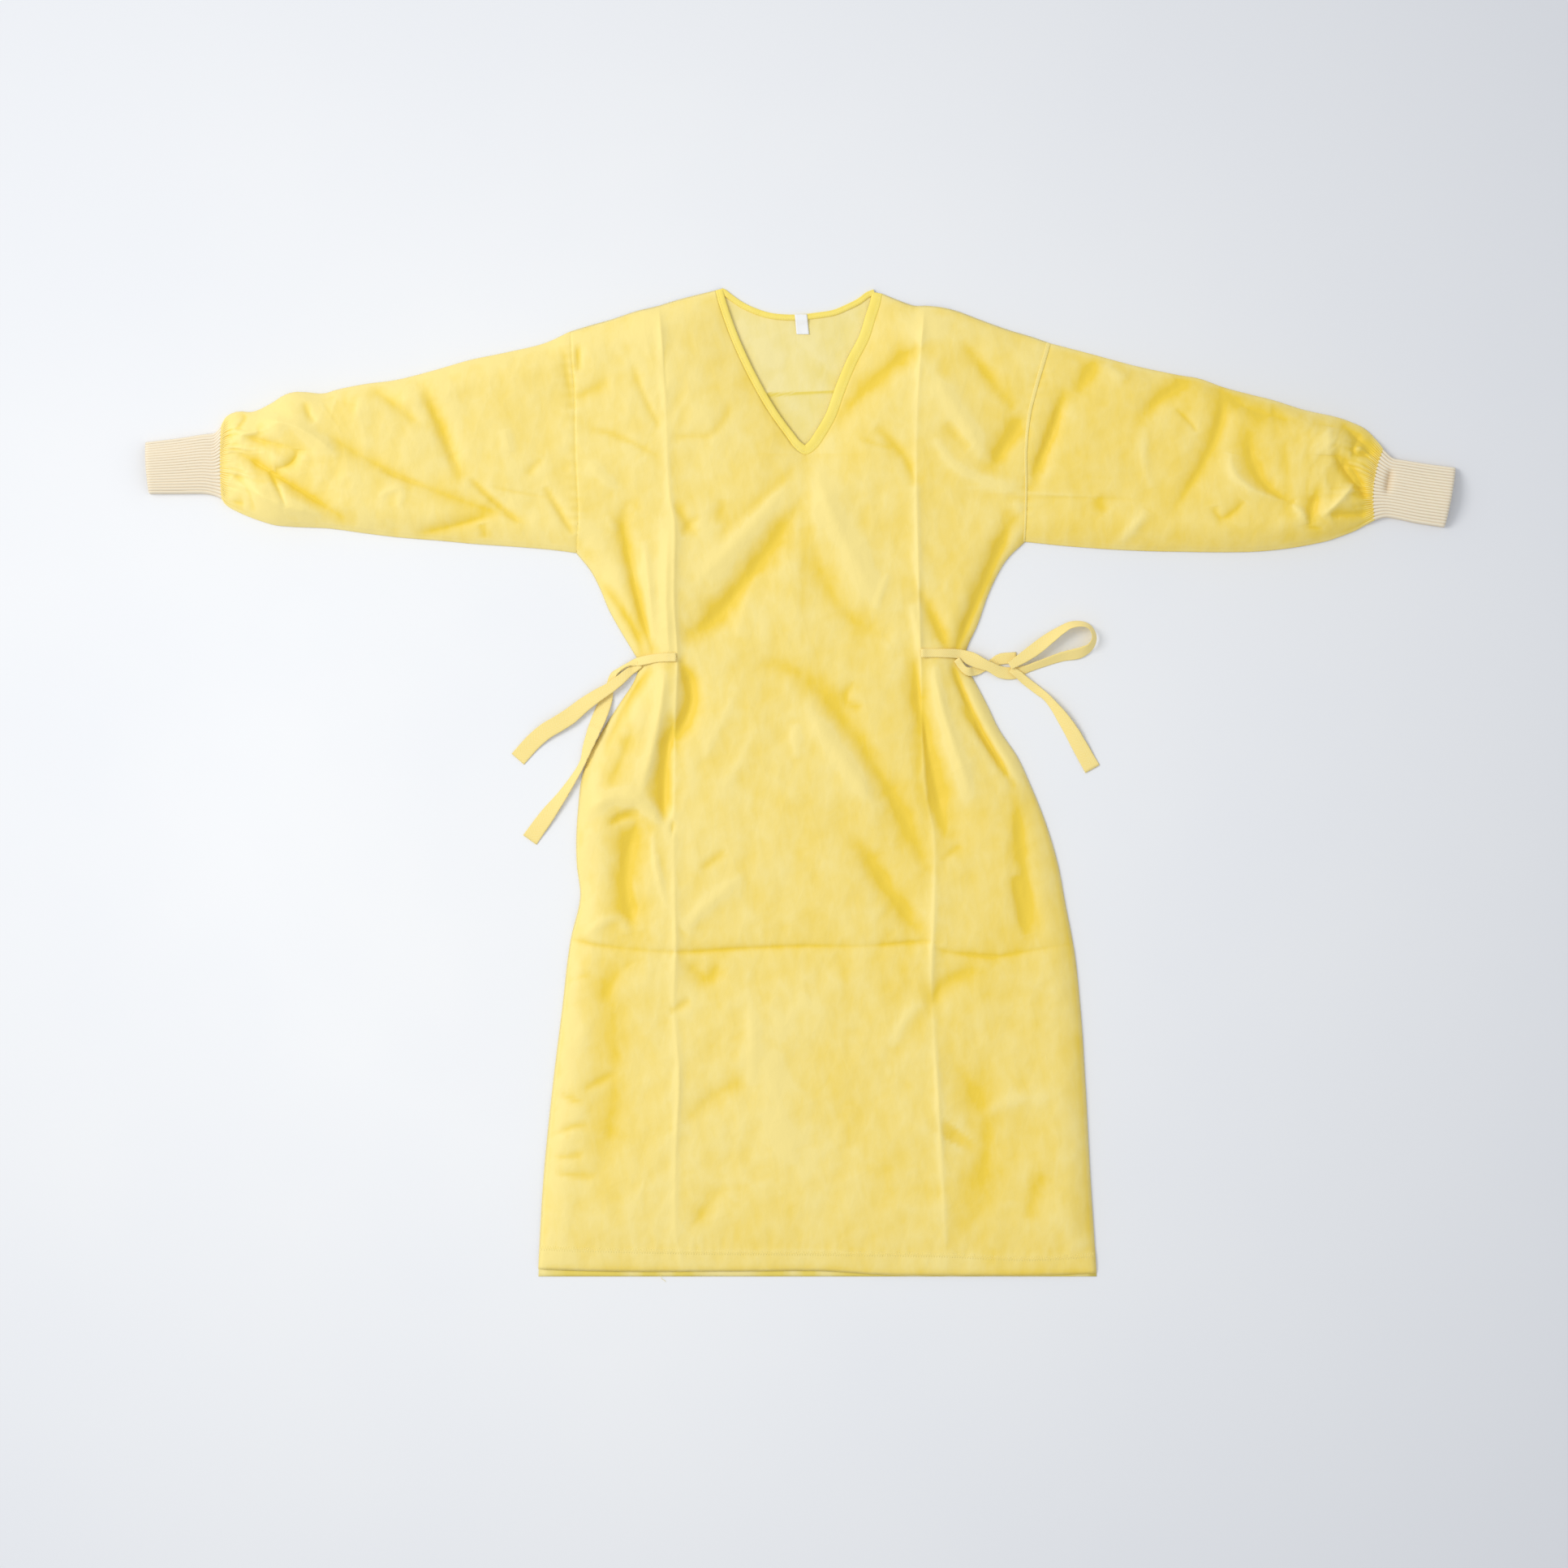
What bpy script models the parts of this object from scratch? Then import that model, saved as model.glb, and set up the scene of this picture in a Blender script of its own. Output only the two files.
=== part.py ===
"""An isolation gown laid flat, face up, at its real size.

X runs across the gown, Y runs up it towards the neck, and Z is up from the surface that it lies on. The origin
is on that surface, at the middle of the gown's box. Left and right are as seen. Tables are in millimetres.
"""
from collections import namedtuple

import bmesh
import bpy
import numpy as np
from mathutils import Vector
from mathutils.bvhtree import BVHTree

MM = 0.001

# Layers of cloth, lying on each other
WALL = 1.2 * MM
SEAM_GAP = 0.3 * MM
BACK_TOP = WALL
FRONT_UNDERSIDE = BACK_TOP + SEAM_GAP

# The air held between front and back
EDGE_ROUND = 34 * MM
HEM_REACH = 90 * MM
HEM_SHARE = 0.3
NECK_REACH = 60 * MM
NECK_SHARE = 0.45
SOFT_FLOOR = 2.5 * MM
CREASE_WIDTH = 7 * MM
CREASE_RISE = 1.5 * MM
HEM_TURN_RISE = 0.5 * MM

# Bindings, sleeves, cuffs, ties and label
BINDING_WIDTH = 9.5 * MM
BINDING_HEIGHT = 2.2 * MM
BACK_BINDING_WIDTH = 6.5 * MM
GATHERS = 22
GATHER_RISE = 3.2 * MM
GATHER_REACH = 48 * MM
GATHER_UNEVENNESS = 0.3
INSIDE_REACH = 4 * MM
CUFF_WALL = 2.0 * MM
CUFF_RIBS = 20
RIB_RISE = 0.9 * MM
CUFF_CROWN = 12 * MM
CUFF_FULLNESS = 0.7
TAPE_THICKNESS = 1.2 * MM
TAPE_CLEARANCE = 0.6 * MM
TAPE_REACH = 3 * MM
SKY = 200 * MM
LABEL_LEFT = -7 * MM
LABEL_WIDTH = 15 * MM
LABEL_LENGTH = 23 * MM
LABEL_BEND = 4 * MM
LABEL_THICKNESS = 0.8 * MM


def table(columns, *rows):
    """Rows with named columns, written in millimetres and given back in metres."""
    row_type = namedtuple("Row", columns)
    return [row_type(*(value * MM for value in row)) for row in rows]


# The outline of the body
LEFT_SHOULDER = table(
    "x y",
    (-268, 525), (-245, 532), (-220, 539), (-190, 549), (-165, 555), (-149, 560), (-99, 573),
)
RIGHT_SHOULDER = table(
    "x y",
    (291, 511), (271, 518), (241, 527), (205, 540), (181, 549), (145, 555), (133, 555), (112, 562), (95, 569),
)
LEFT_ARMHOLE = table(
    "y x",
    (525, -268), (491, -266), (446, -263), (379, -262), (304, -259), (268, -261),
)
RIGHT_ARMHOLE = table(
    "y x",
    (511, 291), (488, 284), (458, 275), (425, 267), (385, 263), (343, 263), (281, 261),
)
LEFT_SIDE = table(
    "y x",
    (268, -261), (247, -244), (226, -233), (202, -223), (175, -208), (150, -193), (141, -188), (122, -192),
    (93, -210), (63, -229), (18, -251), (-35, -259), (-95, -260), (-130, -256), (-181, -267), (-262, -277),
    (-353, -288), (-467, -299), (-575, -305),
)
RIGHT_SIDE = table(
    "y x",
    (281, 261), (262, 241), (243, 229), (217, 217), (183, 205), (157, 193), (141, 189), (122, 200), (90, 217),
    (63, 230), (30, 252), (0, 266), (-42, 283), (-91, 298), (-143, 308), (-196, 318), (-262, 325), (-353, 331),
    (-467, 337), (-575, 344),
)
FRONT_HEM = table(
    "x y",
    (-305, -565), (-236, -567), (-56, -567), (31, -567), (88, -571), (168, -572), (269, -572), (344, -570),
)
BACK_HEM_DROP = 3.5 * MM

# The V of the front and the curve of the back neck, along the outside of their bindings
V_EDGE = table(
    "x y",
    (-99, 573), (-94, 554), (-82, 520), (-68, 488), (-52, 457), (-36, 430), (-18, 405), (-6, 389), (6, 382),
    (18, 389), (28, 403), (41, 426), (52, 457), (65, 488), (79, 515), (87, 540), (92, 555), (95, 569),
)
BACK_NECK = table(
    "x y",
    (-87, 573.5), (-80, 568), (-67, 559), (-52, 552), (-36, 547), (-19, 545), (0, 545), (18, 547), (37, 550),
    (52, 556), (66, 563), (76, 570.5),
)

# Creases left by the gown's packed folds
LEFT_CREASE = table(
    "y x",
    (556, -165), (499, -160), (421, -156), (334, -152), (301, -146), (213, -147), (147, -143), (61, -146),
    (-72, -147), (-191, -145), (-260, -147), (-338, -141), (-429, -145), (-518, -145), (-572, -136),
)
RIGHT_CREASE = table(
    "y x",
    (556, 144), (469, 137), (373, 134), (274, 136), (147, 139), (1, 144), (-61, 155), (-143, 155), (-229, 152),
    (-353, 159), (-504, 167), (-576, 169),
)
CROSS_CREASE = table(
    "x y",
    (-267, -181), (-228, -189), (-147, -196), (-71, -192), (4, -189), (73, -189), (152, -184), (163, -194),
    (223, -201), (263, -195), (316, -186),
)

# Sleeves and cuffs: where each ring meets the top edge and the bottom edge
LEFT_SLEEVE = table(
    "top_x top_y bottom_x bottom_y",
    (-268, 525, -261, 268), (-299, 511, -292, 272), (-341, 501, -335, 275.5), (-384, 492, -378, 278.5),
    (-426, 480, -421, 282.5), (-469, 469, -465, 286), (-506, 464, -503, 290.5), (-537, 458, -535, 295),
    (-556, 453, -554, 297), (-582, 455, -581, 298), (-599, 452, -598, 299), (-615, 442, -614, 301),
    (-636, 432, -636, 308), (-655, 432, -655, 316), (-667, 426, -667, 323), (-673, 416, -673, 331),
)
RIGHT_SLEEVE = table(
    "top_x top_y bottom_x bottom_y",
    (291, 511, 261, 281), (337, 499, 310, 276), (389, 485, 365, 272), (436, 475, 414, 270),
    (464, 470, 443, 269.5), (492, 460, 473, 269), (522, 452, 504, 269), (550, 445, 534, 270),
    (585, 434, 571, 274), (621, 426, 608, 281), (639, 420, 627, 287), (656, 412, 645, 294),
    (668, 400, 656, 300), (677, 388, 667, 306),
)
LEFT_CUFF = table(
    "top_x top_y bottom_x bottom_y",
    (-673, 416, -673, 331), (-681, 407, -681, 334.5), (-695, 405, -694, 337), (-727, 400, -725, 337),
    (-761, 396, -757, 337),
)
RIGHT_CUFF = table(
    "top_x top_y bottom_x bottom_y",
    (677, 388, 667, 306), (688, 378, 679, 309.5), (702, 375, 692, 308), (730, 370.5, 716, 303),
    (760.5, 366.5, 748, 298),
)
RIGHT_CUFF_BOW = -7.5 * MM

# What each half of the gown is cut to
Half = namedtuple("Half", "name shoulder armhole side crease sleeve bow outward")
LEFT = Half("left", LEFT_SHOULDER, LEFT_ARMHOLE, LEFT_SIDE, LEFT_CREASE, LEFT_SLEEVE, 0, -1)
RIGHT = Half(
    "right", RIGHT_SHOULDER, RIGHT_ARMHOLE, RIGHT_SIDE, RIGHT_CREASE, RIGHT_SLEEVE, RIGHT_CUFF_BOW, 1
)

# How high the cloth stands over its air, by the distance from the gown's middle
CROWN = table(
    "reach rise",
    (0, 9.5), (150, 10), (262, 10), (400, 14), (540, 20), (620, 22), (677, 13),
)

# The largest folds: a curve through three places, half its width and its rise at both ends
FOLD_COLUMNS = "x1 y1 x2 y2 x3 y3 width1 width2 rise1 rise2"
BODY_FOLDS = table(
    FOLD_COLUMNS,
    (-130, 172, -82, 212, 2, 330, 16, 22, -8, -5),
    (-122, 232, -64, 291, -8, 356, 24, 22, 5, 4),
    (-90, 290, -44, 330, -2, 372, 16, 14, -4, -3),
    (22, 368, 37, 309, 95, 205, 20, 26, 6, 4),
    (143, 505, 102, 481, 44, 424, 16, 14, -6, -4),
    (225, 370, 240, 396, 258, 423, 13, 16, -7, -5),
    (154, 475, 183, 430, 210, 388, 18, 18, 4, 5),
    (244, 304, 222, 250, 180, 153, 12, 8, -7, -8),
    (133, 230, 155, 192, 168, 158, 13, 8, -3, -7),
    (-196, 325, -204, 285, -172, 155, 13, 7, -4, -8),
    (-235, 235, -200, 190, -184, 153, 10, 6, -4, -5),
    (-152, 300, -156, 220, -152, 152, 12, 9, 3, 6),
    (-140, 132, -124, 88, -152, -34, 15, 21, -9, -7),
    (-162, 128, -176, 71, -206, 0, 8, 20, 5, 7),
    (-176, 130, -200, 95, -226, 40, 6, 11, -6, -4),
    (132, 134, 142, 70, 172, -44, 11, 22, -10, -6),
    (155, 132, 180, 95, 238, -40, 8, 18, 5, 8),
    (180, 132, 190, 97, 236, 8, 6, 8, -8, -6),
    (196, 124, 224, 60, 258, 0, 8, 14, 4, 6),
    (-46, 136, 40, 90, 148, -98, 15, 20, -3, -6),
    (10, 82, 41, 38, 84, -22, 18, 20, 4, 5),
    (66, -66, 98, -116, 140, -176, 15, 16, -4, -5),
    (-190, -46, -203, -109, -192, -172, 19, 20, -9, -7),
    (-256, -38, -203, -16, -152, -56, 11, 11, 6, 4),
    (250, -18, 260, -99, 268, -174, 12, 14, -4, -5),
    (-134, -206, -108, -226, -96, -206, 13, 13, -3, -3),
    (152, -262, 168, -232, 204, -216, 11, 11, -4, -3),
    (-230, -210, -215, -330, -232, -450, 26, 30, -3, -4),
    (180, -330, 215, -400, 200, -500, 24, 28, -3, -4),
    (20, -240, -30, -330, 10, -470, 34, 34, 2, 3),
)
SLEEVE_FOLDS = table(
    FOLD_COLUMNS,
    (-438, 462, -418, 415, -396, 358, 12, 12, -6, -7),
    (-502, 462, -472, 440, -444, 418, 13, 13, -7, -4),
    (-545, 402, -450, 350, -320, 304, 20, 14, -6, -5),
    (-624, 421, -580, 410, -540, 382, 8, 10, 6, 5),
    (-655, 386, -600, 352, -524, 304, 8, 12, -8, -7),
    (-646, 402, -606, 392, -570, 384, 7, 10, -6, -3),
    (-642, 342, -600, 322, -560, 312, 8, 10, 5, 4),
    (-444, 290, -406, 298, -362, 310, 8, 10, -5, -5),
    (342, 490, 332, 473, 318, 452, 13, 13, -5, -3),
    (454, 468, 424, 451, 396, 426, 14, 14, -7, -4),
    (488, 455, 480, 400, 436, 322, 12, 14, -6, -4),
    (494, 454, 524, 432, 572, 420, 12, 10, -5, -4),
    (519, 408, 535, 350, 584, 320, 14, 12, -6, -6),
    (632, 412, 652, 394, 668, 380, 7, 6, -7, -7),
    (620, 378, 640, 350, 660, 326, 7, 6, -7, -7),
    (596, 334, 592, 316, 589, 298, 8, 8, -7, -5),
    (612, 311, 638, 312, 662, 313, 7, 6, -6, -7),
    (304, 450, 286, 390, 268, 345, 11, 10, -4, -4),
)

# Rows of the front panel, by where they end at the two sides, with the steps that lead there
Level = namedtuple("Level", "left right steps")
PANEL_LEVELS = (
    Level(268, 281, 6), Level(141, 141, 9), Level(-35, -42, 9), Level(-188, -190, 6), Level(-540, -548, 11),
)
NECK_STEPS = 9
SIDE_COLUMNS = 8
MIDDLE_COLUMNS = 8
NECK_TIP_Y = 382 * MM
MIDDLE_X = 6 * MM

# How finely lines and rings are cut
SHOULDER_STEPS = 9
SIDE_STEPS = 54
V_STEPS = 60
CREASE_STEPS = 40
FOLD_STEPS = 8
BACK_NECK_STEPS = 22
TUBE_TOP_POINTS = 14
TUBE_UNDER_POINTS = 6

# A binding's section, as shares of its width and height
Corner = namedtuple("Corner", "across rise")
BINDING_SHAPE = (
    Corner(0, 0), Corner(0, 0.7), Corner(0.25, 1), Corner(0.75, 1), Corner(1, 0.7), Corner(1, 0),
)

# Ties of woven tape: their middle line, their height over the surface, their width and their turn about
# that line, as a share of a quarter turn
TIE_COLUMNS = "x y z width turn"


def tie_table(*rows):
    """A tie's rows. The turn stays a plain share."""
    row_type = namedtuple("Row", TIE_COLUMNS)
    return [row_type(x * MM, y * MM, z * MM, width * MM, turn) for x, y, z, width, turn in rows]


TIE_LEFT_FRONT = tie_table(
    (-144, 146, 9, 10, 0), (-167, 145, 9, 10, 0), (-189, 141, 7, 10, 0.15), (-201, 138, 8, 10, 0.85),
    (-211, 132, 6, 10, 0.8), (-218, 125, 3, 8, 0.3), (-222, 112, 1.5, 9, 0.1), (-225, 98, 2, 13, 0.1),
    (-231, 84, 3, 17, 0.2), (-238, 67, 3, 18, 0.3), (-247, 43, 4, 16, 0.5), (-255, 21, 5, 12, 0.65),
    (-275, -11, 4, 14, 0.45), (-295, -38, 3, 18, 0.2), (-315, -66, 1, 19, 0),
)
TIE_LEFT_BACK = tie_table(
    (-193, 133.5, 1, 9, 0), (-199, 129.5, 5, 10, 0.05), (-211, 119, 11, 12, 0.15), (-223, 110, 12.5, 13, 0.2),
    (-236, 102, 12, 15, 0.2),
    (-252, 91, 10, 17, 0.2), (-268, 78, 11, 19, 0.1), (-282, 69, 11, 19, 0), (-297, 60, 7, 19, 0),
    (-312, 47, 3, 19, 0), (-329, 28, 1, 19, 0),
)
TIE_RIGHT_FRONT = tie_table(
    (139, 151, 9, 10, 0), (162, 151, 9, 10, 0), (184, 150, 8, 11, 0), (198, 145, 8, 15, 0.1),
    (210, 140, 8, 11, 0.3), (220, 136, 7, 9, 0.3), (233, 129, 4, 14, 0.1), (248, 128, 2, 14, 0.1),
    (262, 132.5, 2, 10, 0.3), (283, 140, 3, 11, 0.4), (304, 147, 4, 13, 0.4), (323, 151, 6, 15, 0.4),
    (336, 158, 8, 14, 0.6), (341, 169, 9, 13, 0.7), (337, 180, 9, 13, 0.75), (328, 185, 9, 13, 0.7),
    (314, 184, 9, 13, 0.6), (301, 177, 9, 14, 0.5), (287, 167, 9, 15, 0.3), (273, 156, 9, 15, 0.1),
    (258, 145.5, 8.5, 13, 0), (243, 136, 8.5, 9, 0),
)
TIE_RIGHT_BACK = tie_table(
    (185, 138.5, 6, 8, 0), (190, 132.5, 5, 8, 0.1), (196, 128, 5.5, 8, 0.1), (204, 128, 3, 7, 0.1),
    (211, 132, 1.5, 7, 0), (221, 139, 1.2, 9, 0), (233, 144.5, 1.2, 13, 0), (251, 146, 1.2, 13, 0),
)
TIE_RIGHT_TAIL = tie_table(
    (244, 132.5, 5.2, 8, 0), (251, 128, 5, 9, 0), (262, 118.5, 3, 10, 0.2), (275, 108.5, 2, 10, 0.2),
    (285.5, 100, 3, 10, 0.4), (295, 89, 3, 12, 0.4), (304.5, 76, 3, 15, 0.3), (315.5, 59, 3, 17, 0.2),
    (325, 42, 2, 18, 0.1), (339.5, 16.5, 1, 19, 0),
)
Tie = namedtuple("Tie", "name rows steps")
TIES = (
    Tie("tie_left_front", TIE_LEFT_FRONT, 40), Tie("tie_left_back", TIE_LEFT_BACK, 24),
    Tie("tie_right_front", TIE_RIGHT_FRONT, 60), Tie("tie_right_back", TIE_RIGHT_BACK, 22),
    Tie("tie_right_tail", TIE_RIGHT_TAIL, 26),
)

# Colours, as red, green and blue, with a roughness
Finish = namedtuple("Finish", "colour roughness")
FINISHES = {
    "yellow_cloth": Finish((0.93, 0.76, 0.23), 0.62),
    "binding_cloth": Finish((0.90, 0.70, 0.16), 0.6),
    "cuff_knit": Finish((0.91, 0.88, 0.80), 0.85),
    "tie_tape": Finish((0.94, 0.79, 0.33), 0.75),
    "label_cloth": Finish((0.93, 0.93, 0.92), 0.6),
}


def along(rows, key, wanted, at):
    """Reads one column of a table at places between its rows, on a smooth curve through them."""
    ordered = sorted(rows, key=lambda row: getattr(row, key))
    places = np.array([getattr(row, key) for row in ordered])
    values = np.array([getattr(row, wanted) for row in ordered])
    slopes = np.gradient(values, places)
    at = np.clip(at, places[0], places[-1])
    index = np.clip(np.searchsorted(places, at) - 1, 0, len(places) - 2)
    span = places[index + 1] - places[index]
    t = (at - places[index]) / span
    start, end = values[index], values[index + 1]
    return (
        (2 * t**3 - 3 * t**2 + 1) * start
        + (t**3 - 2 * t**2 + t) * span * slopes[index]
        + (3 * t**2 - 2 * t**3) * end
        + (t**3 - t**2) * span * slopes[index + 1]
    )


def smooth_path(rows, columns, steps, first=0, last=None):
    """Points on a smooth curve through a table's rows, or between two of them, with a number of steps."""
    points = np.array([[getattr(row, name) for name in columns] for row in rows])
    slopes = np.gradient(points, axis=0)
    share = np.linspace(first, len(points) - 1 if last is None else last, steps + 1)
    index = np.minimum(share.astype(int), len(points) - 2)
    t = (share - index)[:, None]
    return (
        (2 * t**3 - 3 * t**2 + 1) * points[index]
        + (t**3 - 2 * t**2 + t) * slopes[index]
        + (3 * t**2 - 2 * t**3) * points[index + 1]
        + (t**3 - t**2) * slopes[index + 1]
    )


def neck_halves(steps):
    """The V's edge as its two sides, each from the shoulder to the tip."""
    tip = min(range(len(V_EDGE)), key=lambda number: V_EDGE[number].y)
    return (
        smooth_path(V_EDGE, "xy", steps, 0, tip),
        smooth_path(V_EDGE, "xy", steps, len(V_EDGE) - 1, tip),
    )


def beside(path, distance):
    """A line beside a path, to the left of its run for a distance above 0."""
    run = np.gradient(path, axis=0)
    run /= np.linalg.norm(run, axis=1)[:, None]
    return path + np.column_stack((-run[:, 1], run[:, 0])) * distance


def nearest(points, line):
    """For each point, its distance to a line of straight pieces, and the share of the line where that is."""
    starts, runs = line[:-1], line[1:] - line[:-1]
    lengths = np.linalg.norm(runs, axis=1)
    offset = points[:, None, :] - starts[None, :, :]
    t = np.clip((offset * runs).sum(axis=2) / lengths**2, 0, 1)
    distance = np.linalg.norm(offset - t[:, :, None] * runs, axis=2)
    best = distance.argmin(axis=1)
    pick = np.arange(len(points))
    passed = np.concatenate(([0], np.cumsum(lengths)))
    share = (passed[best] + t[pick, best] * lengths[best]) / passed[-1]
    return distance[pick, best], share


def sleeve_edge(rows, side):
    """The top or the bottom edge of a sleeve as a smooth line."""
    return smooth_path(rows, (side + "_x", side + "_y"), 3 * len(rows))


def seam(sleeve_rows, side, body_rows, steps):
    """A seam from the cuff along a sleeve, and on along the body."""
    return np.concatenate((sleeve_edge(sleeve_rows, side)[::-1], smooth_path(body_rows, "xy", steps)[1:]))


# Seams where front and back meet, so that no air is held there
SEAMS = [
    seam(LEFT_SLEEVE, "top", LEFT_SHOULDER, SHOULDER_STEPS),
    seam(RIGHT_SLEEVE, "top", RIGHT_SHOULDER, SHOULDER_STEPS),
    seam(LEFT_SLEEVE, "bottom", LEFT_SIDE, SIDE_STEPS),
    seam(RIGHT_SLEEVE, "bottom", RIGHT_SIDE, SIDE_STEPS),
]
V_LINE = smooth_path(V_EDGE, "xy", V_STEPS)
CREASES = [smooth_path(rows, "xy", CREASE_STEPS) for rows in (LEFT_CREASE, RIGHT_CREASE, CROSS_CREASE)]


def lift(points):
    """How far the front cloth stands above its lowest place, for points of X and Y."""
    points = np.asarray(points, dtype=float)
    height = along(CROWN, "reach", "rise", np.abs(points[:, 0]))
    for fold in BODY_FOLDS + SLEEVE_FOLDS:
        ends = np.array([[fold.x1, fold.y1], [fold.x3, fold.y3]])
        middle = np.array([fold.x2, fold.y2])
        t = np.linspace(0, 1, FOLD_STEPS + 1)[:, None]
        bend = 2 * middle - ends.mean(axis=0)
        path = (1 - t) ** 2 * ends[0] + 2 * t * (1 - t) * bend + t**2 * ends[1]
        distance, share = nearest(points, path)
        width = fold.width1 + (fold.width2 - fold.width1) * share
        rise = fold.rise1 + (fold.rise2 - fold.rise1) * share
        height += rise * np.exp(-((distance / width) ** 2))
    for crease in CREASES:
        height += CREASE_RISE * np.exp(-((nearest(points, crease)[0] / CREASE_WIDTH) ** 2))
    low = np.clip(height, -SOFT_FLOOR, SOFT_FLOOR)
    height = np.where(height < SOFT_FLOOR, (low + SOFT_FLOOR) ** 2 / (4 * SOFT_FLOOR), height)
    edge = np.min([nearest(points, seam)[0] for seam in SEAMS], axis=0)
    height *= 1 - (1 - np.minimum(edge / EDGE_ROUND, 1)) ** 2
    over_hem = np.clip((points[:, 1] - along(FRONT_HEM, "x", "y", points[:, 0])) / HEM_REACH, 0, 1)
    height *= HEM_SHARE + (1 - HEM_SHARE) * over_hem * (2 - over_hem)
    from_neck = np.clip(nearest(points, V_LINE)[0] / NECK_REACH, 0, 1)
    return height * (NECK_SHARE + (1 - NECK_SHARE) * from_neck * (2 - from_neck))


def front_top(points):
    """The height of the front cloth's upper face over points of X and Y."""
    return FRONT_UNDERSIDE + WALL + lift(points)


def material(name):
    """One of the gown's finishes as a material."""
    made = bpy.data.materials.new(name)
    made.use_nodes = True
    shader = made.node_tree.nodes["Principled BSDF"]
    shader.inputs["Base Color"].default_value = (*FINISHES[name].colour, 1)
    shader.inputs["Roughness"].default_value = FINISHES[name].roughness
    shader.inputs["Metallic"].default_value = 0
    return made


def add_piece(name, bm, finish):
    """Makes a closed mesh into a named piece of the gown."""
    bmesh.ops.recalc_face_normals(bm, faces=bm.faces)
    mesh = bpy.data.meshes.new(name)
    bm.to_mesh(mesh)
    bm.free()
    mesh.shade_smooth()
    mesh.materials.append(finish)
    piece = bpy.data.objects.new(name, mesh)
    GOWN.objects.link(piece)
    return piece


def fill_between(bm, rows):
    """Faces between rows that have the same number of points."""
    for lower, upper in zip(rows, rows[1:]):
        for k in range(len(lower) - 1):
            bm.faces.new((lower[k], lower[k + 1], upper[k + 1], upper[k]))


def thicken(bm, drop):
    """Turns a sheet into a closed wall: repeats it lower down and closes the rim."""
    tops = list(bm.faces)
    rim = [edge.link_loops[0] for edge in bm.edges if edge.is_boundary]
    rim = [(loop.vert, loop.link_loop_next.vert) for loop in rim]
    under = {vert: bm.verts.new(vert.co - Vector((0, 0, drop))) for vert in list(bm.verts)}
    for face in tops:
        bm.faces.new([under[vert] for vert in reversed(face.verts)])
    for first, second in rim:
        bm.faces.new((second, first, under[first], under[second]))


def stitch(bm, ring_a, ring_b):
    """Faces between two closed rings of (share, vertex), which may have unlike numbers of points."""
    i = j = 0
    while i < len(ring_a) or j < len(ring_b):
        next_a = ring_a[i + 1][0] if i + 1 < len(ring_a) else 1
        next_b = ring_b[j + 1][0] if j + 1 < len(ring_b) else 1
        step_a = i < len(ring_a) and next_a <= next_b + 1e-9
        step_b = j < len(ring_b) and next_b <= next_a + 1e-9
        corner_a, corner_b = ring_a[i % len(ring_a)][1], ring_b[j % len(ring_b)][1]
        after_a, after_b = ring_a[(i + 1) % len(ring_a)][1], ring_b[(j + 1) % len(ring_b)][1]
        if step_a and step_b:
            bm.faces.new((corner_a, after_a, after_b))
            bm.faces.new((corner_a, after_b, corner_b))
        elif step_a:
            bm.faces.new((corner_a, after_a, corner_b))
        else:
            bm.faces.new((corner_a, after_b, corner_b))
        i += step_a
        j += step_b


def edge_points(half):
    """Points down one side of the body, from its shoulder past the armhole to the hem's stitching.

    Both panels and the sleeve are made from them.
    """
    y = [np.linspace(half.armhole[0].y, NECK_TIP_Y, NECK_STEPS + 1)]
    for level in PANEL_LEVELS:
        y.append(np.linspace(y[-1][-1], getattr(level, half.name) * MM, level.steps + 1)[1:])
    y = np.concatenate(y)
    x = np.where(
        y > half.side[0].y, along(half.armhole, "y", "x", y), along(half.side, "y", "x", y)
    )
    return np.column_stack((x, y))


def armhole_points(half):
    """The stretch of the edge points along the armhole."""
    return edge_points(half)[: NECK_STEPS + PANEL_LEVELS[0].steps + 1]


def panel_half(half, neck_points):
    """Rows of points on half of the front, each from the side edge to the V or the middle line."""
    outer = edge_points(half)
    level_y = (edge_points(LEFT)[:, 1] + edge_points(RIGHT)[:, 1]) / 2
    middle = np.column_stack((np.full(len(outer), MIDDLE_X), level_y))
    middle[: NECK_STEPS + 1] = neck_points
    share = np.concatenate((np.linspace(0, 1, SIDE_COLUMNS + 1), 1 + np.linspace(0, 1, MIDDLE_COLUMNS + 1)[1:]))
    thirds = (0, 1, 2)
    top_x = np.interp(share, thirds, (outer[0, 0], half.crease[0].x, middle[0, 0]))
    top_y = along(half.shoulder, "x", "y", top_x)
    rows = []
    for number in range(len(outer)):
        y = outer[number, 1] + (middle[number, 1] - outer[number, 1]) * share / 2
        if number < NECK_STEPS:
            edge_down = (top_y[0] - outer[number, 1]) / (top_y[0] - NECK_TIP_Y)
            neck_down = (top_y[-1] - middle[number, 1]) / (top_y[-1] - NECK_TIP_Y)
            down = edge_down + (neck_down - edge_down) * share / 2
            y = top_y + (NECK_TIP_Y - top_y) * down
        crease_x = float(along(half.crease, "y", "x", y[SIDE_COLUMNS]))
        x = np.interp(share, thirds, (outer[number, 0], crease_x, middle[number, 0]))
        rows.append(np.column_stack((x, y)))
    hem_x = rows[-1][:, 0] + (half.side[-1].x - outer[-1, 0]) * (1 - share / 2)
    rows.append(np.column_stack((hem_x, along(FRONT_HEM, "x", "y", hem_x))))
    return rows


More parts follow.
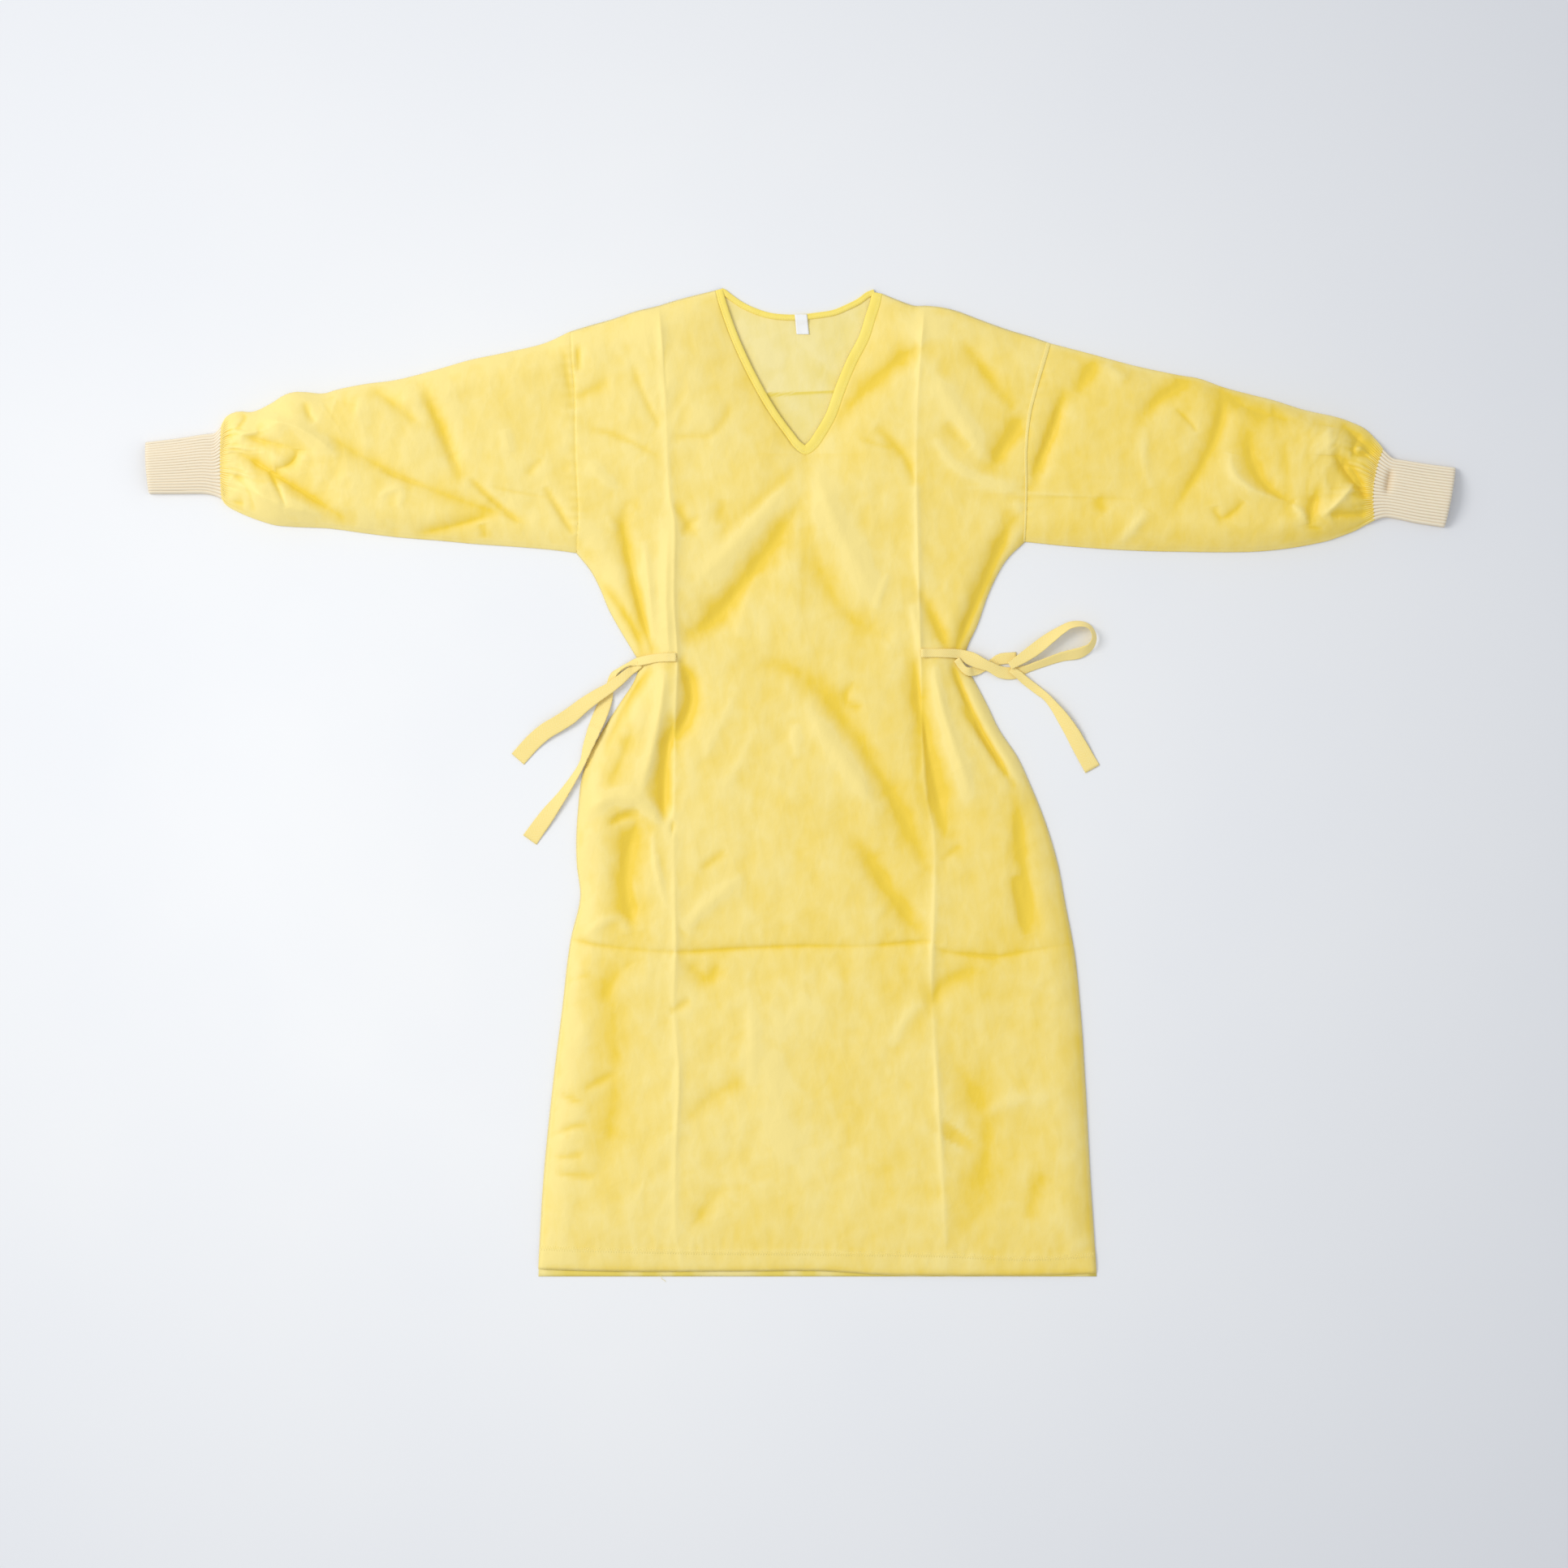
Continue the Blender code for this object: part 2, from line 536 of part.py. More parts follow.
def front_panel():
    """The front: a wall over its held air, with the V cut out and the hem turned up.

    It is cut into triangles before it gets its thickness, so that both faces bend along the same lines.
    """
    bm = bmesh.new()
    left_neck, right_neck = neck_halves(NECK_STEPS)
    halves = (panel_half(LEFT, left_neck), panel_half(RIGHT, right_neck))
    hem_row = len(halves[0]) - 1
    middle = {}
    for half in halves:
        grid = []
        for number, points in enumerate(half):
            turned = HEM_TURN_RISE if number >= hem_row - 1 else 0
            places = np.column_stack((points, front_top(points) + turned))
            row = [bm.verts.new(place) for place in places[:-1]]
            if number < NECK_STEPS or number not in middle:
                middle[number] = bm.verts.new(places[-1])
            row.append(middle[number])
            grid.append(row)
        fill_between(bm, grid)
    bmesh.ops.triangulate(bm, faces=list(bm.faces))
    thicken(bm, WALL)
    return add_piece("front_panel", bm, MATERIALS["yellow_cloth"])


def back_panel():
    """The back: a flat wall on the surface, with a shallow curved neck and a hem a little longer."""
    bm = bmesh.new()
    neck = beside(smooth_path(BACK_NECK, "xy", BACK_NECK_STEPS), -BACK_BINDING_WIDTH - SEAM_GAP)
    hem_y = FRONT_HEM[-1].y - BACK_HEM_DROP
    outline = np.concatenate((
        edge_points(LEFT),
        [(LEFT_SIDE[-1].x, hem_y), (RIGHT_SIDE[-1].x, hem_y)],
        edge_points(RIGHT)[::-1],
        smooth_path(RIGHT_SHOULDER, "xy", SHOULDER_STEPS)[1:],
        neck[::-1],
        smooth_path(LEFT_SHOULDER, "xy", SHOULDER_STEPS)[:0:-1],
    ))
    bm.faces.new([bm.verts.new((x, y, BACK_TOP)) for x, y in outline])
    thicken(bm, WALL)
    return add_piece("back_panel", bm, MATERIALS["yellow_cloth"])


def evenly(count, near):
    """Places for a run of points across a ring: their shares, and where they lie, clear of the ring's edges."""
    shares = (np.arange(count) + 1) / (count + 1)
    return shares, near + (1 - 2 * near) * np.arange(count) / (count - 1)


def flat_ring(points, upper, lower, edge, top_z, low_z):
    """The places round a flattened tube, as (share, x, y, z): over its upper cloth, then back under it.

    points gives X and Y at shares across the ring, from its bottom edge to its top edge.
    """
    places = []
    for start, (shares, across), height in ((0, upper, top_z), (0.5, lower, low_z)):
        corner = points(np.array([1 - edge if start else edge]))[0]
        places.append((start, *corner, FRONT_UNDERSIDE - SEAM_GAP / 2))
        across = across[::-1] if start else across
        run = points(across)
        for share, place, z in zip(shares, run, height(run, across)):
            places.append((start + share / 2, *place, z))
    return places


def bowed(bottom, top, start_bend, end_bend, share):
    """Gives X and Y at shares across a tube's ring, which bows as the tube's two ends do."""
    def points(across):
        straight = bottom + (top - bottom) * across[:, None]
        straight[:, 0] += (1 - share) * start_bend(across) + share * end_bend(across)
        return straight
    return points


def tube(bm, outer_rings, inner_rings):
    """A tube's wall between its outer rings and its inner rings, open at both ends."""
    outer = [[(place[0], bm.verts.new(place[1:])) for place in ring] for ring in outer_rings]
    inner = [[(place[0], bm.verts.new(place[1:])) for place in ring] for ring in inner_rings]
    for rings in (outer, inner):
        for first, second in zip(rings, rings[1:]):
            stitch(bm, first, second)
    stitch(bm, outer[0], inner[0])
    stitch(bm, outer[-1], inner[-1])


def flat(height):
    """A level run of cloth, whatever its places."""
    return lambda run, across: np.full(len(run), height)


def sleeve(name, half):
    """A sleeve: a flat tube with its folds, cut to the armhole's points and gathered at the cuff."""
    bm = bmesh.new()
    steps = 2 * (len(half.sleeve) - 1)
    stations = smooth_path(half.sleeve, ("top_x", "top_y", "bottom_x", "bottom_y"), steps)
    armhole = armhole_points(half)[::-1]
    hole_across = (armhole[:, 1] - armhole[0, 1]) / (armhole[-1, 1] - armhole[0, 1])
    hole_bend = armhole[:, 0] - np.interp(hole_across, (0, 1), (armhole[0, 0], armhole[-1, 0]))

    def spread(number, count, near):
        """A ring's shares and places across it. The first ring has the armhole's own."""
        if number:
            return evenly(count, near)
        across = np.concatenate(([near], hole_across[1:-1], [1 - near]))
        return across, across

    outer, inner = [], []
    for number, (top_x, top_y, bottom_x, bottom_y) in enumerate(stations):
        aside = 0 if number else half.outward * SEAM_GAP
        points = bowed(
            np.array((bottom_x + aside, bottom_y)), np.array((top_x + aside, top_y)),
            lambda across: np.interp(across, hole_across, hole_bend),
            lambda across: 4 * half.bow * across * (1 - across),
            number / steps,
        )
        to_cuff = abs(stations[-1, 0] - top_x)
        gather = GATHER_RISE * max(0, 1 - to_cuff / GATHER_REACH)

        def gathered(run, across):
            waves = (np.arange(len(run)) % 2) * (1 - GATHER_UNEVENNESS * (1 - np.sin(GATHERS * across)))
            return front_top(run) + gather * waves * np.sin(np.pi * across)

        def inside(run, across):
            """Clear of the lowest cloth beside each place, because the gathers are cut finer than the inside."""
            beside_it = [front_top(run + np.array((0, step))) for step in (-INSIDE_REACH, 0, INSIDE_REACH)]
            over_it = np.min(beside_it, axis=0) if gather else front_top(run)
            return np.maximum(over_it - WALL, BACK_TOP + SEAM_GAP)

        near = WALL / (top_y - bottom_y)
        top_count = 2 * GATHERS + 1 if to_cuff < GATHER_REACH else TUBE_TOP_POINTS
        upper, lower = spread(number, top_count, near), spread(number, TUBE_UNDER_POINTS, near)
        outer.append(flat_ring(points, upper, lower, 0, gathered, flat(0)))
        clear = 3 * near
        upper, lower = spread(number, TUBE_TOP_POINTS, clear), spread(number, TUBE_UNDER_POINTS, clear)
        inner.append(flat_ring(points, upper, lower, 2 * near, inside, flat(BACK_TOP)))
    tube(bm, outer, inner)
    return add_piece(name, bm, MATERIALS["yellow_cloth"])


def cuff(name, rows, half):
    """A rib-knit cuff: a flat tube with ribs raised on its upper face over a plain inside."""
    bm = bmesh.new()
    steps = 2 * (len(rows) - 1)
    stations = smooth_path(rows, ("top_x", "top_y", "bottom_x", "bottom_y"), steps)

    def crown(run, across):
        return 2 * CUFF_WALL + CUFF_CROWN * (4 * across * (1 - across)) ** CUFF_FULLNESS

    def ribbed(run, across):
        return crown(run, across) + RIB_RISE * (np.arange(len(run)) % 2)

    def inside(run, across):
        return crown(run, across) - CUFF_WALL

    outer, inner = [], []
    for number, (top_x, top_y, bottom_x, bottom_y) in enumerate(stations):
        aside = 0 if number else half.outward * SEAM_GAP
        points = bowed(
            np.array((bottom_x + aside, bottom_y)), np.array((top_x + aside, top_y)),
            lambda across: 4 * half.bow * across * (1 - across), np.zeros_like, number / steps,
        )
        near = WALL / (top_y - bottom_y)
        upper, lower = evenly(2 * CUFF_RIBS + 1, near), evenly(TUBE_UNDER_POINTS, near)
        outer.append(flat_ring(points, upper, lower, 0, ribbed, flat(0)))
        if number % 2 == 0:
            clear = 5 * near
            upper, lower = evenly(TUBE_TOP_POINTS, clear), evenly(TUBE_UNDER_POINTS, clear)
            inner.append(flat_ring(points, upper, lower, 4 * near, inside, flat(CUFF_WALL / 2)))
    tube(bm, outer, inner)
    return add_piece(name, bm, MATERIALS["cuff_knit"])


def ribbon(name, sections, finish):
    """A closed strip through sections that have the same number of corners.

    The half that faces back is split along the same lines as the half in front, so a twist keeps its thickness.
    """
    bm = bmesh.new()
    rings = [[bm.verts.new(corner) for corner in section] for section in sections]
    for first, second in zip(rings, rings[1:]):
        for k in range(len(first)):
            following = (k + 1) % len(first)
            if 2 * k < len(first):
                bm.faces.new((first[k], first[following], second[following]))
                bm.faces.new((first[k], second[following], second[k]))
            else:
                bm.faces.new((first[k], first[following], second[k]))
                bm.faces.new((first[following], second[following], second[k]))
    bm.faces.new(rings[0])
    bm.faces.new(rings[-1][::-1])
    return add_piece(name, bm, finish)


def binding(name, path, near, far, base):
    """A folded strip of cloth between two distances from a neck edge, with a rounded upper face."""
    lines = [beside(path, near + (far - near) * corner.across) for corner in BINDING_SHAPE]
    sections = [
        [(*line[number], z + corner.rise * BINDING_HEIGHT) for line, corner in zip(lines, BINDING_SHAPE)]
        for number, z in enumerate(base)
    ]
    return ribbon(name, sections, MATERIALS["binding_cloth"])


def neck_label():
    """A small bare label over the middle of the back neck, bent over the binding."""
    over_binding = BINDING_HEIGHT + SEAM_GAP
    over_back = BACK_TOP + SEAM_GAP
    neck_y = BACK_NECK[6].y
    binding_foot = neck_y - BACK_BINDING_WIDTH
    rows = (
        (neck_y, over_binding), (binding_foot, over_binding),
        (binding_foot - LABEL_BEND, over_back), (neck_y - LABEL_LENGTH, over_back),
    )
    sections = [
        [(x, y, z + rise) for x, rise in (
            (LABEL_LEFT, 0), (LABEL_LEFT, LABEL_THICKNESS),
            (LABEL_LEFT + LABEL_WIDTH, LABEL_THICKNESS), (LABEL_LEFT + LABEL_WIDTH, 0),
        )]
        for y, z in rows
    ]
    return ribbon("neck_label", sections, MATERIALS["label_cloth"])


def ground_under(places):
    """The highest point of the front panel under some places of X and Y, or the surface that it lies on."""
    heights = [0.0]
    for x, y in places:
        hit = FRONT_SURFACE.ray_cast(Vector((x, y, SKY)), Vector((0, 0, -1)))[0]
        if hit:
            heights.append(hit.z + TAPE_CLEARANCE)
    return max(heights)


def tie(name, rows, steps):
    """A tie of flat tape, which lies on the front where it crosses it and turns about its middle line."""
    stations = smooth_path(rows, ("x", "y", "z", "width", "turn"), steps)
    run = np.gradient(stations[:, :2], axis=0)
    run /= np.linalg.norm(run, axis=1)[:, None]
    sections = []
    for number, ((x, y, z, width, turn), (dx, dy)) in enumerate(zip(stations, run)):
        angle = np.radians(90 * turn)
        across = Vector((-dy * np.cos(angle), dx * np.cos(angle), np.sin(angle)))
        through = Vector((dy * np.sin(angle), -dx * np.sin(angle), np.cos(angle)))
        reach = np.linspace(-0.5, 0.5, 5)[:, None] * width * np.array([-dy, dx])
        ahead = np.array([dx, dy]) * TAPE_REACH
        parts = (-1, 0, 1) if number else (0, 1)
        ground = max(ground_under(reach + np.array([x, y]) + ahead * part) for part in parts)
        rise = width / 2 * np.sin(angle) + TAPE_THICKNESS / 2 * np.cos(angle)
        middle = Vector((x, y, max(z, ground + rise)))
        sections.append([
            middle + across * width / 2 * side + through * TAPE_THICKNESS / 2 * face
            for side, face in ((-1, -1), (1, -1), (1, 1), (-1, 1))
        ])
    return ribbon(name, sections, MATERIALS["tie_tape"])


for old in list(bpy.data.objects):
    bpy.data.objects.remove(old, do_unlink=True)
GOWN = bpy.data.collections.new("isolation_gown")
bpy.context.scene.collection.children.link(GOWN)
MATERIALS = {name: material(name) for name in FINISHES}

front = front_panel()
FRONT_SURFACE = BVHTree.FromObject(front, bpy.context.evaluated_depsgraph_get())
back_panel()
sleeve("sleeve_left", LEFT)
sleeve("sleeve_right", RIGHT)
cuff("cuff_left", LEFT_CUFF, LEFT)
cuff("cuff_right", RIGHT_CUFF, RIGHT)
left_neck, right_neck = neck_halves(NECK_STEPS)
front_neck = np.concatenate((left_neck, right_neck[-2::-1]))
back_neck = smooth_path(BACK_NECK, "xy", BACK_NECK_STEPS)
binding("neck_binding_front", front_neck, SEAM_GAP, BINDING_WIDTH, FRONT_UNDERSIDE + lift(front_neck))
binding("neck_binding_back", back_neck, 0, -BACK_BINDING_WIDTH, np.zeros(len(back_neck)))
neck_label()
for cut in TIES:
    tie(cut.name, cut.rows, cut.steps)
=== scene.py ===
"""An isolation gown laid flat, face up: the looks of its cloth, knit, tape and sewing.

X runs across the gown, Y runs up it towards the neck, and Z is up from the surface that it lies on. Left and
right are as seen. Tables are in millimetres, and everything else is in metres.
"""
from collections import namedtuple

import bpy
import numpy as np
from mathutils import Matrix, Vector, noise
from mathutils.bvhtree import BVHTree


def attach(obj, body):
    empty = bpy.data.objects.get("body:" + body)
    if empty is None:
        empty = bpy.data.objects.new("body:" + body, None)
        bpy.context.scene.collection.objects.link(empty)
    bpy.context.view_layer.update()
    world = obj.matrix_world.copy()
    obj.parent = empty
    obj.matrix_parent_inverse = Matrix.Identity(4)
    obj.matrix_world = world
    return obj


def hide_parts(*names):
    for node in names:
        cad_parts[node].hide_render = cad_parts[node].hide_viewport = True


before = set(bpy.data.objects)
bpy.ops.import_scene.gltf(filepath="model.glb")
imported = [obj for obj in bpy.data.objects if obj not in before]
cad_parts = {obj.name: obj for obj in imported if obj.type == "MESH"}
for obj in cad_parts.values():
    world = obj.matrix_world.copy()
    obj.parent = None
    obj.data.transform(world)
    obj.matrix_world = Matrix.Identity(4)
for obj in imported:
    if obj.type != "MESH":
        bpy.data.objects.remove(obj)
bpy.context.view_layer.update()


# The camera looks straight down on the gown, as in the photograph. A long lens keeps the sleeve ends flat.
LENS = 85
SENSOR = 36
FIELD_OF_VIEW = 1.824
CAMERA_X = -0.0194
CAMERA_Y = -0.0009

eye = bpy.data.cameras.new("camera")
eye.lens = LENS
eye.sensor_width = SENSOR
eye.clip_end = 50
camera = bpy.data.objects.new("camera", eye)
camera.location = (CAMERA_X, CAMERA_Y, FIELD_OF_VIEW * LENS / SENSOR)
bpy.context.scene.collection.objects.link(camera)
bpy.context.scene.camera = camera


# The floor is a sheet of pale paper, lit by a large soft window from the upper left and by a pale room.
# The paper has faint cool clouds in its white, and painted shade that darkens it away from a bright spot.
class Wire:
    """A node's output while a material is drawn up. Sums of wires and numbers become Math nodes."""

    def __init__(self, tree, socket=None):
        self.tree = tree
        self.socket = socket

    def node(self, kind, settings=(), values=(), out=0):
        """Adds one node: its settings first, then the values or wires of its sockets."""
        made = self.tree.nodes.new(kind)
        for name, value in dict(settings).items():
            if name == "stops":
                for stop in value[2:]:
                    made.color_ramp.elements.new(stop[0])
                for element, (place, colour) in zip(made.color_ramp.elements, value):
                    element.position = place
                    element.color = (*colour, 1)
            else:
                setattr(made, name, value)
        for name, value in dict(values).items():
            if isinstance(value, Wire):
                self.tree.links.new(value.socket, made.inputs[name])
            else:
                made.inputs[name].default_value = value
        return Wire(self.tree, made.outputs[out])

    def sum(self, operation, first, second):
        return self.node("ShaderNodeMath", {"operation": operation}, {0: first, 1: second})

    def __add__(self, other):
        return self.sum("ADD", self, other)

    def __sub__(self, other):
        return self.sum("SUBTRACT", self, other)

    def __mul__(self, other):
        return self.sum("MULTIPLY", self, other)

    def curve(self, operation):
        """Sine, absolute value and the like."""
        return self.node("ShaderNodeMath", {"operation": operation}, {0: self})

    def clamp(self, low, high):
        """The wire's value, brought from a range to 0 to 1."""
        values = {"Value": self, "From Min": low, "From Max": high}
        return self.node("ShaderNodeMapRange", {"clamp": True}, values)

    def mix(self, share, first, second):
        """A colour between two colours."""
        colours = [c if isinstance(c, Wire) else (*c, 1) for c in (first, second)]
        values = {0: share, 6: colours[0], 7: colours[1]}
        return self.node("ShaderNodeMix", {"data_type": "RGBA"}, values, out=2)

    def away(self, place, middle):
        """The distance of a place from a point."""
        return self.node("ShaderNodeVectorMath", {"operation": "DISTANCE"}, {0: place, 1: middle}, out=1)

    def apart(self, place):
        """A place's X, Y and Z."""
        first = self.node("ShaderNodeSeparateXYZ", {}, {0: place})
        return [Wire(self.tree, socket) for socket in first.socket.node.outputs]

    def clouds(self, place, size, detail=2, roughness=0.5, distortion=0):
        """Soft noise with blotches of a size in metres."""
        values = {"Vector": place, "Scale": 1 / size, "Detail": detail, "Roughness": roughness}
        values["Distortion"] = distortion
        return self.node("ShaderNodeTexNoise", {"noise_dimensions": "3D"}, values)

    def stretched(self, place, factors, turn=0):
        """A place with its axes stretched and turned about Z, in degrees."""
        values = {"Vector": place, "Scale": factors, "Rotation": (0, 0, np.radians(turn))}
        return self.node("ShaderNodeMapping", {}, values)

    def bump(self, height, depth, below=None):
        """A normal from a height of 0 to 1, for a depth in metres, over another normal."""
        values = {"Height": height, "Distance": depth, "Strength": 1}
        if below:
            values["Normal"] = below
        return self.node("ShaderNodeBump", {}, values)


def new_finish(name, **uniform):
    """A material with the shader's uniform values, which are named with _ for a space.

    Gives the material, its shader, a wire to draw with, and the place on the object.
    """
    made = bpy.data.materials.new(name)
    made.use_nodes = True
    shader = made.node_tree.nodes["Principled BSDF"]
    for socket, value in uniform.items():
        shader.inputs[socket.replace("_", " ")].default_value = value
    pen = Wire(made.node_tree)
    return made, shader, pen, pen.node("ShaderNodeTexCoord", out=3)


def connect(pen, shader, **wires):
    """Links wires to the shader's sockets, named with _ for a space."""
    for name, wire in wires.items():
        pen.tree.links.new(wire.socket, shader.inputs[name.replace("_", " ")])


PAPER_SIZE = 14
PAPER_WHITE = (0.905, 0.907, 0.912)
PAPER_CLOUD = (0.878, 0.885, 0.903)
PAPER_PAINTED_SHADE = (0.715, 0.725, 0.755)
PAINTED_LIGHT_SPOT = (-0.25, -0.03, 0)
paper, shader, pen, place = new_finish("pale_paper", Roughness=0.85, Specular_IOR_Level=0.15)
cloudy = pen.mix(pen.clouds(place, 0.35, detail=3).clamp(0.35, 0.7), PAPER_WHITE, PAPER_CLOUD)
# Painted shade: the paper's colour darkens with distance from a painted bright spot left of the middle.
connect(pen, shader, Base_Color=pen.mix(pen.away(place, PAINTED_LIGHT_SPOT).clamp(0.4, 1.45), cloudy, PAPER_PAINTED_SHADE))
bpy.ops.mesh.primitive_plane_add(size=PAPER_SIZE, location=(0, 0, -0.0002))
floor = bpy.context.object
floor.name = "floor"
floor.data.materials.append(paper)

WINDOW_SIZE = 2.3
WINDOW_FACES = Vector((0.15, -0.05, 0))
window = bpy.data.lights.new("window", "AREA")
window.shape = "RECTANGLE"
window.size = WINDOW_SIZE
window.size_y = WINDOW_SIZE
window.energy = 123
window.color = (1, 0.985, 0.955)
window_frame = bpy.data.objects.new("window", window)
window_frame.location = (-3.5, 1.3, 3.7)
to_gown = WINDOW_FACES - window_frame.location
window_frame.rotation_euler = to_gown.to_track_quat("-Z", "Y").to_euler()
bpy.context.scene.collection.objects.link(window_frame)

room = bpy.data.worlds.new("room")
room.use_nodes = True
room.node_tree.nodes["Background"].inputs["Color"].default_value = (0.93, 0.96, 1, 1)
room.node_tree.nodes["Background"].inputs["Strength"].default_value = 0.73
bpy.context.scene.world = room
bpy.context.scene.view_settings.view_transform = "Standard"


# The front panel is one piece of thin, crisp polyester cloth with a V neck and a turned hem. It was folded in
# a packet, so it has long sharp creases, and the ties pull it in at the waist, which raises folds above and
# below them. The sides are sewn to the back, and the whole lies over the air between them.
MM = 0.001


def table(columns, *rows):
    """Rows with named columns, written in millimetres and given back in metres."""
    row_type = namedtuple("Row", columns)
    return [row_type(*(value * MM for value in row)) for row in rows]


LEFT_SHOULDER = table(
    "x y",
    (-268, 525), (-245, 532), (-220, 539), (-190, 549), (-165, 555), (-149, 560), (-99, 573),
)
RIGHT_SHOULDER = table(
    "x y",
    (291, 511), (271, 518), (241, 527), (205, 540), (181, 549), (145, 555), (133, 555), (112, 562),
    (95, 569),
)
LEFT_ARMHOLE = table(
    "y x",
    (525, -268), (491, -266), (446, -263), (379, -262), (304, -259), (268, -261),
)
RIGHT_ARMHOLE = table(
    "y x",
    (511, 291), (488, 284), (458, 275), (425, 267), (385, 263), (343, 263), (281, 261),
)
LEFT_SIDE = table(
    "y x",
    (268, -261), (247, -244), (226, -233), (202, -223), (175, -208), (150, -193), (141, -188), (122, -192),
    (93, -210), (63, -229), (18, -251), (-35, -259), (-95, -260), (-130, -256), (-181, -267),
    (-262, -277), (-353, -288), (-467, -299), (-575, -305),
)
RIGHT_SIDE = table(
    "y x",
    (281, 261), (262, 241), (243, 229), (217, 217), (183, 205), (157, 193), (141, 189), (122, 200), (90, 217),
    (63, 230), (30, 252), (0, 266), (-42, 283), (-91, 298), (-143, 308), (-196, 318), (-262, 325),
    (-353, 331), (-467, 337), (-575, 344),
)
FRONT_HEM = table(
    "x y",
    (-305, -565), (-236, -567), (-56, -567), (31, -567), (88, -571), (168, -572), (269, -572), (344, -570),
)
V_EDGE = table(
    "x y",
    (-99, 573), (-94, 554), (-82, 520), (-68, 488), (-52, 457), (-36, 430), (-18, 405), (-6, 389), (6, 382),
    (18, 389), (28, 403), (41, 426), (52, 457), (65, 488), (79, 515), (87, 540), (92, 555), (95, 569),
)
LEFT_CREASE = table(
    "y x",
    (556, -165), (499, -160), (421, -156), (334, -152), (301, -146), (213, -147), (147, -143), (61, -146),
    (-72, -147), (-191, -145), (-260, -147), (-338, -141), (-429, -145), (-518, -145), (-572, -136),
)
RIGHT_CREASE = table(
    "y x",
    (556, 144), (469, 137), (373, 134), (274, 136), (147, 139), (1, 144), (-61, 155), (-143, 155), (-229, 152),
    (-353, 159), (-504, 167), (-576, 169),
)
CROSS_CREASE = table(
    "x y",
    (-267, -181), (-228, -189), (-147, -196), (-71, -192), (4, -189), (73, -189), (152, -184), (163, -194),
    (223, -201), (263, -195), (316, -186),
)
LEFT_SLEEVE = table(
    "top_x top_y bottom_x bottom_y",
    (-268, 525, -261, 268), (-299, 511, -292, 272), (-341, 501, -335, 275.5), (-384, 492, -378, 278.5),
    (-426, 480, -421, 282.5), (-469, 469, -465, 286), (-506, 464, -503, 290.5), (-537, 458, -535, 295),
    (-556, 453, -554, 297), (-582, 455, -581, 298), (-599, 452, -598, 299), (-615, 442, -614, 301),
    (-636, 432, -636, 308), (-655, 432, -655, 316), (-667, 426, -667, 323), (-673, 416, -673, 331),
)
RIGHT_SLEEVE = table(
    "top_x top_y bottom_x bottom_y",
    (291, 511, 261, 281), (337, 499, 310, 276), (389, 485, 365, 272), (436, 475, 414, 270),
    (464, 470, 443, 269.5), (492, 460, 473, 269), (522, 452, 504, 269), (550, 445, 534, 270),
    (585, 434, 571, 274), (621, 426, 608, 281), (639, 420, 627, 287), (656, 412, 645, 294),
    (668, 400, 656, 300), (677, 388, 667, 306),
)
RIGHT_CUFF_BOW = -7.5 * MM

Half = namedtuple("Half", "name shoulder armhole side crease sleeve bow outward")
LEFT = Half("left", LEFT_SHOULDER, LEFT_ARMHOLE, LEFT_SIDE, LEFT_CREASE, LEFT_SLEEVE, 0, -1)
RIGHT = Half(
    "right", RIGHT_SHOULDER, RIGHT_ARMHOLE, RIGHT_SIDE, RIGHT_CREASE, RIGHT_SLEEVE, RIGHT_CUFF_BOW, 1
)

# How high the cloth stands over its air, by the distance from the gown's middle
CROWN = table(
    "reach rise",
    (0, 9.5), (150, 10), (262, 10), (400, 14), (540, 20), (620, 22), (677, 13),
)

